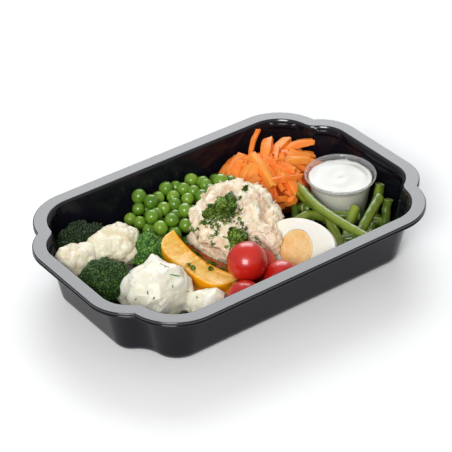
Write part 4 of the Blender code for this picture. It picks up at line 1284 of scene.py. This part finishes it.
# Start, end, width, depth and twist of the sticks that show
CARROT_STICKS = (
    ((59.5, 57.5, 27.0), (71.5, 64.5, 38.0), 3.4, 2.0, 0.3),
    ((34.0, 55.5, 20.0), (51.0, 60.0, 27.0), 7.0, 4.6, 0.2),
    ((35.0, 48.0, 22.0), (54.0, 59.5, 27.5), 7.0, 4.6, -0.2),
    ((31.5, 40.0, 20.0), (45.0, 50.0, 31.0), 7.0, 4.8, 0.1),
    ((36.5, 40.0, 19.0), (46.5, 40.5, 32.0), 7.5, 4.8, 0.3),
    ((54.0, 49.0, 34.0), (49.5, 21.0, 25.0), 6.5, 4.8, 0.2),
    ((72.0, 55.5, 34.5), (58.0, 41.0, 30.5), 7.5, 4.5, -0.3),
    ((85.5, 52.0, 31.5), (67.0, 44.0, 30.0), 7.0, 4.6, 0.0),
    ((78.0, 46.5, 28.5), (96.5, 40.5, 31.0), 7.0, 4.8, 0.2),
    ((72.0, 42.0, 30.0), (93.0, 35.0, 24.0), 6.5, 4.5, -0.2),
    ((66.0, 41.0, 30.5), (84.0, 29.5, 20.5), 7.0, 4.8, 0.1),
    ((56.5, 42.0, 32.5), (70.0, 25.5, 26.5), 6.5, 4.4, -0.4),
    ((49.5, 26.0, 26.5), (71.0, 23.0, 23.0), 7.0, 4.8, 0.2),
    ((41.0, 31.0, 19.0), (49.0, 40.0, 33.0), 7.5, 4.6, -0.1),
    ((46.0, 22.5, 12.0), (48.0, 8.5, 23.0), 6.5, 4.8, 0.4),
    ((51.5, 18.5, 10.0), (54.5, 5.5, 20.5), 6.0, 4.6, -0.3),
    ((62.0, 35.0, 33.5), (76.0, 33.5, 29.0), 2.6, 1.8, 0.5),
    ((74.0, 47.0, 33.5), (60.0, 33.0, 31.5), 2.4, 1.6, 0.0),
)
FILLING_STICKS = 64


# %% Cut a stick
STICK_STATIONS = 9


def make_stick(bm, start, end, width, depth, twist, seed):
    """Loft one stick into a bmesh: an uneven four-sided section with soft edges and torn ends."""
    rng = random.Random(seed)
    start, end = Vector(start), Vector(end)
    along = (end - start).normalized()
    side = along.cross(Vector((0.0, 0.0, 1.0))).normalized()
    up = side.cross(along)
    side, up = side * math.cos(twist) + up * math.sin(twist), up * math.cos(twist) - side * math.sin(twist)
    corners = [(-1, -1), (1, -1), (1, 1), (-1, 1)]
    corners = [Vector((x * width / 2 * rng.uniform(0.72, 1.05), y * depth / 2 * rng.uniform(0.72, 1.05)))
               for x, y in corners]
    bow = Vector((rng.uniform(-0.8, 0.8), rng.uniform(0.0, 1.2)))
    rings = []
    for station in range(STICK_STATIONS + 1):
        share = station / STICK_STATIONS
        is_end = station in (0, STICK_STATIONS)
        thin = 1.0 - 0.08 * abs(2.0 * share - 1.0) ** 3
        ring = []
        for number in range(4):
            here, after = corners[number], corners[(number + 1) % 4]
            before = corners[number - 1]
            for cut, toward in ((0.11, before), (0.11, after), (0.5, after)):
                spot = here.lerp(toward, cut) * thin
                spot = spot + bow * math.sin(math.pi * share)
                rough = 0.16 * noise.noise(Vector((share * 5.0, spot.x * 0.5, spot.y * 0.5 + seed)))
                ring.append(spot * (1.0 + rough))
        points = []
        for spot in ring:
            ragged = 0.18 * spot.x + 0.25 * spot.y + rng.uniform(-0.55, 0.55) if is_end else 0.0
            points.append(start.lerp(end, share) + along * ragged + side * spot.x + up * spot.y)
        rings.append(points)
    tint = value_layer(bm, "tint")
    own = rng.random()
    for row in loft(bm, rings):
        for vert in row:
            vert[tint] = own


# %% Fill the heap with sticks
def stick_places():
    """Sticks that lie outwards from the top of the heap, on its slope."""
    rng = random.Random(8)
    golden = math.pi * (3.0 - math.sqrt(5.0))
    centre, half = CARROT_MOUND["centre"], CARROT_MOUND["half"]
    for index in range(FILLING_STICKS):
        share = 0.93 * math.sqrt((index + 0.5) / FILLING_STICKS)
        angle = golden * index
        heading = angle + rng.uniform(-0.9, 0.9)
        x = centre[0] + half[0] * share * math.cos(angle)
        y = centre[1] + half[1] * share * math.sin(angle)
        z = mound_height(CARROT_MOUND, x, y) - rng.uniform(1.0, 4.5)
        along = Vector((math.cos(heading), math.sin(heading), -0.75 * share + rng.uniform(-0.15, 0.2)))
        along = along.normalized() * rng.uniform(8.5, 13.5)
        middle = Vector((x, y, z))
        yield middle - along, middle + along, rng.uniform(5.0, 7.5), rng.uniform(3.4, 5.0)


def make_carrots(material):
    """All sticks as one piece."""
    bm = bmesh.new()
    for number, (start, end, width, depth, twist) in enumerate(CARROT_STICKS):
        make_stick(bm, start, end, width, depth, twist, 100 + number)
    others = solid_trees("tray", "dip_cup", "green_beans", "peas", "tuna_salad")
    added = 0
    for number, (start, end, width, depth) in enumerate(stick_places()):
        spots = [start.lerp(end, share) for share in (0.0, 0.25, 0.5, 0.75, 1.0)]
        if all(is_free(spot, depth * 0.5, others) and inside_tray(spot, width * 0.5) for spot in spots):
            make_stick(bm, start, end, width, depth, number * 0.7, 200 + number)
            added += 1
    print("carrot sticks:", len(CARROT_STICKS) + added)
    bmesh.ops.recalc_face_normals(bm, faces=bm.faces)
    return new_piece("heap_of_carrot_sticks", bm, material, sharp=48.0)


# %% Put a dome under the sticks
def add_core(piece, mound, sink, material):
    """Add a plain dome below a heap, so that nothing shows through it."""
    bm = bmesh.new()
    bmesh.ops.create_grid(bm, x_segments=40, y_segments=40, size=1.0)
    for vert in bm.verts:
        side = max(abs(vert.co.x), abs(vert.co.y))
        flat = Vector((vert.co.x, vert.co.y))
        flat *= 0.93 * side / max(flat.length, 1e-6) if flat.length > 1.0 else 0.93
        x = mound["centre"][0] + mound["half"][0] * flat.x
        y = mound["centre"][1] + mound["half"][1] * flat.y
        height = mound_height(mound, x, y) or mound["foot"]
        vert.co = (x, y, max(mound["foot"], height - sink) if side < 0.999 else mound["foot"])
        while not inside_tray(vert.co, 1.5):
            vert.co.xy = vert.co.xy.lerp(Vector(mound["centre"]), 0.05)
    bmesh.ops.recalc_face_normals(bm, faces=bm.faces)
    edges = [edge for edge in bm.edges if edge.is_boundary]
    bmesh.ops.holes_fill(bm, edges=edges, sides=0)
    bmesh.ops.recalc_face_normals(bm, faces=bm.faces)
    return merge_into(piece, new_piece("core", bm, material))


# %% Cook and heap the carrots
carrot_finish, tree, shader = new_food("cooked_carrot", 0.42, 0.2, 2.0, Specular_IOR_Level=0.3)
own = ramp(tree, attribute(tree, "tint"), (0.0, (0.90, 0.19, 0.020)), (0.5, (0.95, 0.25, 0.030)),
           (1.0, (0.96, 0.33, 0.045)))
fibres = grain(tree, 1.1, detail=4.0, distortion=0.5)
pale = ramp(tree, grain(tree, 5.0, detail=2.0), (0.42, 0.0), (0.75, 0.7))
colour = blend(tree, pale, own, (0.96, 0.36, 0.07))
paint(tree, shader, blend(tree, ramp(tree, fibres, (0.55, 0.0), (0.8, 0.3)), colour, (0.97, 0.48, 0.14)))
emboss(tree, shader, fibres, 0.2, 0.3)
# The dome under the sticks is painted a darker red: painted shade
shaded_core_finish, tree, shader = new_material("carrot_depths", 0.5)
paint(tree, shader, ramp(tree, grain(tree, 3.0), (0.4, (0.55, 0.07, 0.008)), (0.7, (0.70, 0.12, 0.015))))
carrots = make_carrots(carrot_finish)
settle(add_core(carrots, CARROT_MOUND, 8.0, shaded_core_finish), "carrots", "carrots")

# %% [markdown]
# ## Green beans
#
# Cut beans are bent pods of about 6 mm: a little flat, with a seam along each side and soft swellings
# over the seeds. Some ends are cut and show the hollow pod, and some run out in the stem's point. Each
# bean is lofted along its own bowed line, and the section changes along it.

# %% Where the beans lie
# Start, end, bow, radius and kind of first end of each bean
BEANS = (
    ((65.0, 15.5, 24.5), (60.0, -58.0, 24.5), (-6.0, 0.0, 1.0), 2.7, "stem"),
    ((92.5, -31.5, 27.0), (54.5, -51.0, 16.5), (0.0, 0.0, 1.0), 2.9, "cut"),
    ((78.0, -25.5, 22.5), (66.5, -31.0, 12.5), (0.0, 0.0, 0.5), 2.9, "cut"),
    ((96.5, -35.5, 25.5), (90.0, -38.5, 8.0), (0.0, 0.0, 0.0), 2.9, "cut"),
    ((82.0, -30.0, 12.5), (93.0, -38.5, 11.5), (0.0, 0.0, 0.5), 2.8, "cut"),
    ((103.0, -19.5, 26.0), (97.5, -20.5, 6.0), (0.0, 0.0, 0.0), 2.9, "cut"),
    ((64.0, -14.0, 16.5), (79.5, -27.5, 16.0), (-0.5, -0.5, 0.5), 2.8, "cut"),
    ((42.5, -6.0, 12.5), (65.5, -15.0, 12.5), (1.0, 2.0, 4.5), 2.9, "cut"),
    ((57.5, -1.5, 17.5), (63.5, 12.5, 8.5), (0.0, 0.0, 0.0), 2.9, "cut"),
    ((53.0, 0.0, 4.5), (59.0, 13.5, 15.5), (0.0, 0.0, 0.0), 2.8, "cut"),
    ((63.5, 12.0, 19.5), (60.5, -9.5, 20.5), (0.0, 0.0, 0.0), 2.9, "cut"),
    ((60.5, -20.5, 19.0), (51.0, -44.5, 12.5), (0.0, 0.0, 0.5), 2.8, "cut"),
    ((70.5, -27.5, 14.5), (55.5, -42.5, 9.5), (0.0, 0.0, 0.0), 2.9, "cut"),
    ((46.0, -50.0, 8.5), (84.0, -45.0, 9.5), (0.0, 0.0, 2.0), 3.0, "cut"),
    ((44.0, -44.0, 5.0), (74.0, -12.0, 5.5), (0.0, 0.0, 2.0), 3.0, "cut"),
    ((60.0, -56.0, 6.0), (90.0, -30.0, 5.5), (0.0, 0.0, 1.0), 3.0, "cut"),
    ((70.0, -58.0, 7.0), (50.0, -26.0, 6.0), (0.0, 0.0, 2.0), 2.9, "cut"),
    ((88.0, -46.0, 6.0), (98.0, -24.0, 5.0), (0.0, 0.0, 0.5), 2.9, "cut"),
    ((42.0, -12.0, 5.0), (62.0, -20.0, 6.0), (0.0, 0.0, 1.0), 2.9, "cut"),
    ((54.0, -34.0, 11.0), (72.0, -46.0, 12.5), (0.0, 0.0, 1.0), 2.8, "cut"),
    ((64.0, -54.0, 11.5), (82.0, -36.0, 12.0), (0.0, 0.0, 1.0), 2.8, "cut"),
)


# %% Shape a bean
BEAN_SIDES, BEAN_STATION_LENGTH = 18, 1.6


def make_bean(bm, start, end, bow, radius, finish, seed):
    """Loft one bean into a bmesh."""
    rng = random.Random(seed)
    start, end, bow = Vector(start), Vector(end), Vector(bow)
    length = (end - start).length
    stations = max(12, int(length / BEAN_STATION_LENGTH))
    angles = [2.0 * math.pi * step / BEAN_SIDES for step in range(BEAN_SIDES)]
    own = rng.random()
    turn = rng.uniform(0.0, math.pi)
    wave = Vector((rng.uniform(-0.5, 0.5), rng.uniform(-0.5, 0.5), 0.0))
    rings = []
    for station in range(stations + 1):
        share = station / stations
        middle = start.lerp(end, share) + bow * math.sin(math.pi * share)
        middle += wave * math.sin(2.0 * math.pi * share)
        along = (end - start + bow * math.pi * math.cos(math.pi * share)).normalized()
        side = along.cross(Vector((0.0, 0.0, 1.0))).normalized()
        up = side.cross(along)
        swell = 1.0 + 0.05 * math.sin(share * length / 7.5 * 2.0 * math.pi + seed)
        size = radius * swell
        if finish == "stem":
            size *= 0.28 + 0.72 * smooth_step(share * length / 9.0)
        ring = []
        for a in angles:
            groove = 1.0 - 0.07 * math.exp(-(math.sin((a - turn) / 2.0) / 0.16) ** 2)
            flat = 1.0 - 0.08 * math.cos(2.0 * (a - turn))
            ring.append(middle + (side * math.cos(a) + up * math.sin(a)) * size * groove * flat)
        rings.append(ring)
    for end_number, ring_number, direction in ((0, 0, -1.0), (1, -1, 1.0)):
        if finish == "stem" and end_number == 0:
            continue
        middle = sum(rings[ring_number], Vector()) / BEAN_SIDES
        along = (end - start).normalized() * direction
        lip = [middle + (point - middle) * 0.80 + along * 0.25 for point in rings[ring_number]]
        hollow = [middle + (point - middle) * 0.45 - along * 0.5 for point in rings[ring_number]]
        if end_number == 0:
            rings = [hollow, lip] + rings
        else:
            rings = rings + [lip, hollow]
    tint, seam, tip = (value_layer(bm, name) for name in ("tint", "seam", "tip"))
    for number, row in enumerate(loft(bm, rings)):
        for a, vert in zip(angles, row):
            vert[tint] = own
            vert[tip] = smooth_step(1.0 - number * BEAN_STATION_LENGTH / 8.0) if finish == "stem" else 0.0
            vert[seam] = math.exp(-(math.sin((a - turn) / 2.0) / 0.22) ** 2)


# %% Cook and lay the beans
bean_finish, tree, shader = new_food("cooked_green_bean", 0.3, 0.15, 2.0, Coat_Weight=0.2, Coat_Roughness=0.2)
own = ramp(tree, attribute(tree, "tint"), (0.0, (0.048, 0.098, 0.010)), (0.5, (0.100, 0.175, 0.013)),
           (1.0, (0.19, 0.27, 0.022)))
streaks = ramp(tree, grain(tree, 3.0, detail=4.0), (0.4, 0.0), (0.75, 0.6))
colour = blend(tree, streaks, own, (0.23, 0.31, 0.030))
colour = blend(tree, maths(tree, "MULTIPLY", attribute(tree, "seam"), 0.6), colour, (0.32, 0.37, 0.045))
stem_end = maths(tree, "MULTIPLY", attribute(tree, "tip"), 0.7)
paint(tree, shader, blend(tree, stem_end, colour, (0.34, 0.26, 0.06)))
emboss(tree, shader, grain(tree, 1.0, detail=4.0), 0.2, 0.35)
bm = bmesh.new()
for number, (start, end, bow, radius, finish) in enumerate(BEANS):
    make_bean(bm, start, end, bow, radius, finish, 300 + number)
bmesh.ops.recalc_face_normals(bm, faces=bm.faces)
beans = new_piece("crossing_green_beans", bm, bean_finish, sharp=55.0)
settle(beans, "green_beans", "green_beans", "green_bean_long")

# %% [markdown]
# ## Curly parsley
#
# Curly parsley is a cushion of tiny crimped leaves on thin stems. One crimped leaf of a few faces is
# enough: it is scattered thickly over the two clumps, each time turned and leaning another way. Loose
# leaves are dropped from above onto whatever food lies below them.

# %% Crimp a leaf
LEAF_STEPS = 10


def make_leaf(name, seed):
    """A round leaf with a waved rim."""
    rng = random.Random(seed)
    bm = bmesh.new()
    centre = bm.verts.new((0.0, 0.0, 0.0))
    inner, outer = [], []
    for step in range(LEAF_STEPS):
        a = 2.0 * math.pi * step / LEAF_STEPS
        lift = 0.35 * (1 if step % 2 else -1)
        inner.append(bm.verts.new((0.5 * math.cos(a), 0.5 * math.sin(a), 0.12 + 0.3 * lift)))
        reach = rng.uniform(0.85, 1.1)
        height = 0.30 + lift + rng.uniform(-0.15, 0.15)
        outer.append(bm.verts.new((reach * math.cos(a), reach * math.sin(a), height)))
    for step in range(LEAF_STEPS):
        after = (step + 1) % LEAF_STEPS
        bm.faces.new((centre, inner[step], inner[after]))
        bm.faces.new((inner[step], outer[step], outer[after], inner[after]))
    bmesh.ops.solidify(bm, geom=bm.faces[:], thickness=0.12)
    bmesh.ops.recalc_face_normals(bm, faces=bm.faces)
    return small_shape(name, bm)


# %% Fresh green leaves
leaf_finish, tree, shader = new_food("curly_parsley", 0.38, 0.08, 1.0, Coat_Weight=0.1)
# The leaves get lighter towards the left
shade = maths(tree, "ADD", grain(tree, 2.6), by_place(tree, "X", 0.0, -10.0, 0.0, 0.13))
paint(tree, shader, ramp(tree, shade, (0.31, (0.034, 0.100, 0.009)), (0.46, (0.12, 0.26, 0.022)),
                         (0.62, (0.34, 0.51, 0.070))))
leaf = make_leaf("leaf", 5)

# %% Where the parsley lies
# Where each clump is dense: its middle seen from above and how far that reaches
DENSE = {"parsley_top": ((-1.8, -1.2), 4.0), "parsley_front": ((-6.0, -16.5), 5.5)}
# Loose bits near each clump: a place seen from above, how far they spread and how many
LOOSE_BITS = {
    "parsley_top": ((-3.5, 0.0, 4.5, 110), (4.5, 3.8, 1.9, 50), (-7.5, 5.5, 2.6, 75), (-12.5, 6.5, 2.0, 45),
                    (-15.0, 5.0, 1.5, 25), (-12.0, 1.5, 1.8, 20), (-12.0, -2.5, 1.3, 12), (4.0, 5.0, 2.6, 30),
                    (16.0, 6.0, 1.1, 14), (9.0, 2.0, 0.6, 3)),
    "parsley_front": ((-6.5, -15.5, 4.2, 90), (-9.0, -12.5, 2.5, 30), (-1.5, -18.5, 2.2, 26),
                      (4.0, -20.5, 1.2, 10), (-17.0, -4.0, 1.5, 14), (-19.5, 8.0, 1.8, 20),
                      (-21.0, 12.0, 1.2, 9), (-22.0, -18.0, 0.9, 7), (-27.0, -13.5, 1.0, 7),
                      (-31.0, -20.0, 0.8, 5), (-18.0, -14.0, 1.5, 12), (-30.3, 10.5, 0.9, 14),
                      (-28.8, 5.5, 0.9, 13), (-27.0, 1.5, 0.7, 8), (-41.5, -13.5, 0.4, 3),
                      (-40.5, -17.0, 0.4, 3)),
}


# %% Drop loose leaves
LANDED_ON = [search_tree(piece.data) for piece in (tuna, potato, *wedges)]


def loose_bits(spots, seed):
    """Drop leaves onto the finished food from above, scattered round a few places."""
    rng = random.Random(seed)
    places = []
    for x, y, spread, count in spots:
        for _ in range(count):
            aside = Vector((rng.gauss(0.0, spread), rng.gauss(0.0, spread), 0.0)) * 0.7
            start = (Vector((x, y, ABOVE_ALL)) + aside) * MM
            hits = [tree.ray_cast(start, DOWN)[0] for tree in LANDED_ON]
            heights = [hit.z / MM for hit in hits if hit is not None]
            if heights:
                lift = rng.uniform(-0.2, 0.7) * (1.0 + (2.0 if spread > 2.0 else 0.0) * rng.random())
                spot = (start.x / MM, start.y / MM, max(heights) + lift)
                turn = (rng.uniform(-1.2, 1.2), rng.uniform(-1.2, 1.2), rng.uniform(0.0, 6.28))
                places.append((spot, turn, rng.uniform(0.9, 1.7), rng.random()))
    return put_on_points("loose_leaves", places, leaf, leaf_finish)


# %% Shape the parsley
def tuft_depth(point, normal):
    """Deep gaps between tufts, and a clump that ends round its dense middle."""
    thin = smooth_step(((point.xy - middle).length - reach) / 3.0)
    return 3.2 * domes(point, 4.4, 2.0) - 4.0 - 5.0 * thin


def everywhere(point, normal):
    """Leaves grow on every side of a clump."""
    return 1.0


for number, (name, spots) in enumerate(LOOSE_BITS.items()):
    middle, reach = Vector(DENSE[name][0]), DENSE[name][1]
    clump = even_skin("curly_" + name, name, 0.7, 3, leaf_finish)
    carve(clump, tuft_depth)
    leaves = scatter("leaves", clump, everywhere, leaf, 1.15, 1.0, (1.0, 1.8), 1.1, 20 + number, leaf_finish)
    bits = loose_bits(spots, 40 + number)
    settle(merge_into(clump, leaves, bits), "parsley", name)

# %% [markdown]
# ## Table, light and camera
#
# Black plastic shows nothing of itself, only what it reflects. A large soft light behind the tray makes
# the flat flange read as light grey, as in a food photograph, and a second one above brings out the
# food. The floor is plain and pale. The camera stands far off with a long lens, so that the tray's
# sides stay nearly parallel.

# %% Set the stage
def add_area(name, place, aim, size, power, colour=(1.0, 1.0, 1.0)):
    """Add a square area light that points at a place."""
    data = bpy.data.lights.new(name, "AREA")
    data.size = size
    data.energy = power
    data.color = colour
    light = add_object(name, data)
    light.location = place
    light.rotation_euler = (Vector(aim) - Vector(place)).to_track_quat("-Z", "Y").to_euler()


bm = bmesh.new()
bmesh.ops.create_grid(bm, x_segments=1, y_segments=1, size=3000.0)
paper, tree, shader = new_material("pale_table", 0.7, Base_Color=(0.97, 0.97, 0.97, 1.0))
floor = new_piece("floor", bm, paper)

world = bpy.data.worlds.new("studio")
world.use_nodes = True
sky = world.node_tree.nodes["Background"].inputs
sky["Color"].default_value = (1.0, 1.0, 1.0, 1.0)
sky["Strength"].default_value = 0.44
bpy.context.scene.world = world

MEAL = (0.0, 0.0, 0.02)
add_area("back_softbox", (0.79, 1.06, 0.93), MEAL, 1.1, 16.5, (0.95, 0.98, 1.0))
add_area("front_softbox", (-0.95, -0.8, 0.85), MEAL, 0.6, 16.0)

# %% Place the camera
# The camera's place in metres, and its three axes as they follow from the edge of the tray's flange
place = Vector((-0.583576, -0.785021, 0.694024))
right = Vector((0.79856264, -0.60175433, -0.01376368))
up = Vector((0.3480594, 0.4429975, 0.82620086))
back = Vector((-0.49107267, -0.66456372, 0.56320751))
lens = bpy.data.cameras.new("camera")
lens.sensor_width = 36.0
lens.lens = 154.85
lens.clip_end = 10.0
camera = add_object("camera", lens)
camera.matrix_world = Matrix.Translation(place) @ Matrix((right, up, back)).transposed().to_4x4()
bpy.context.scene.camera = camera
bpy.context.scene.view_settings.view_transform = "Standard"
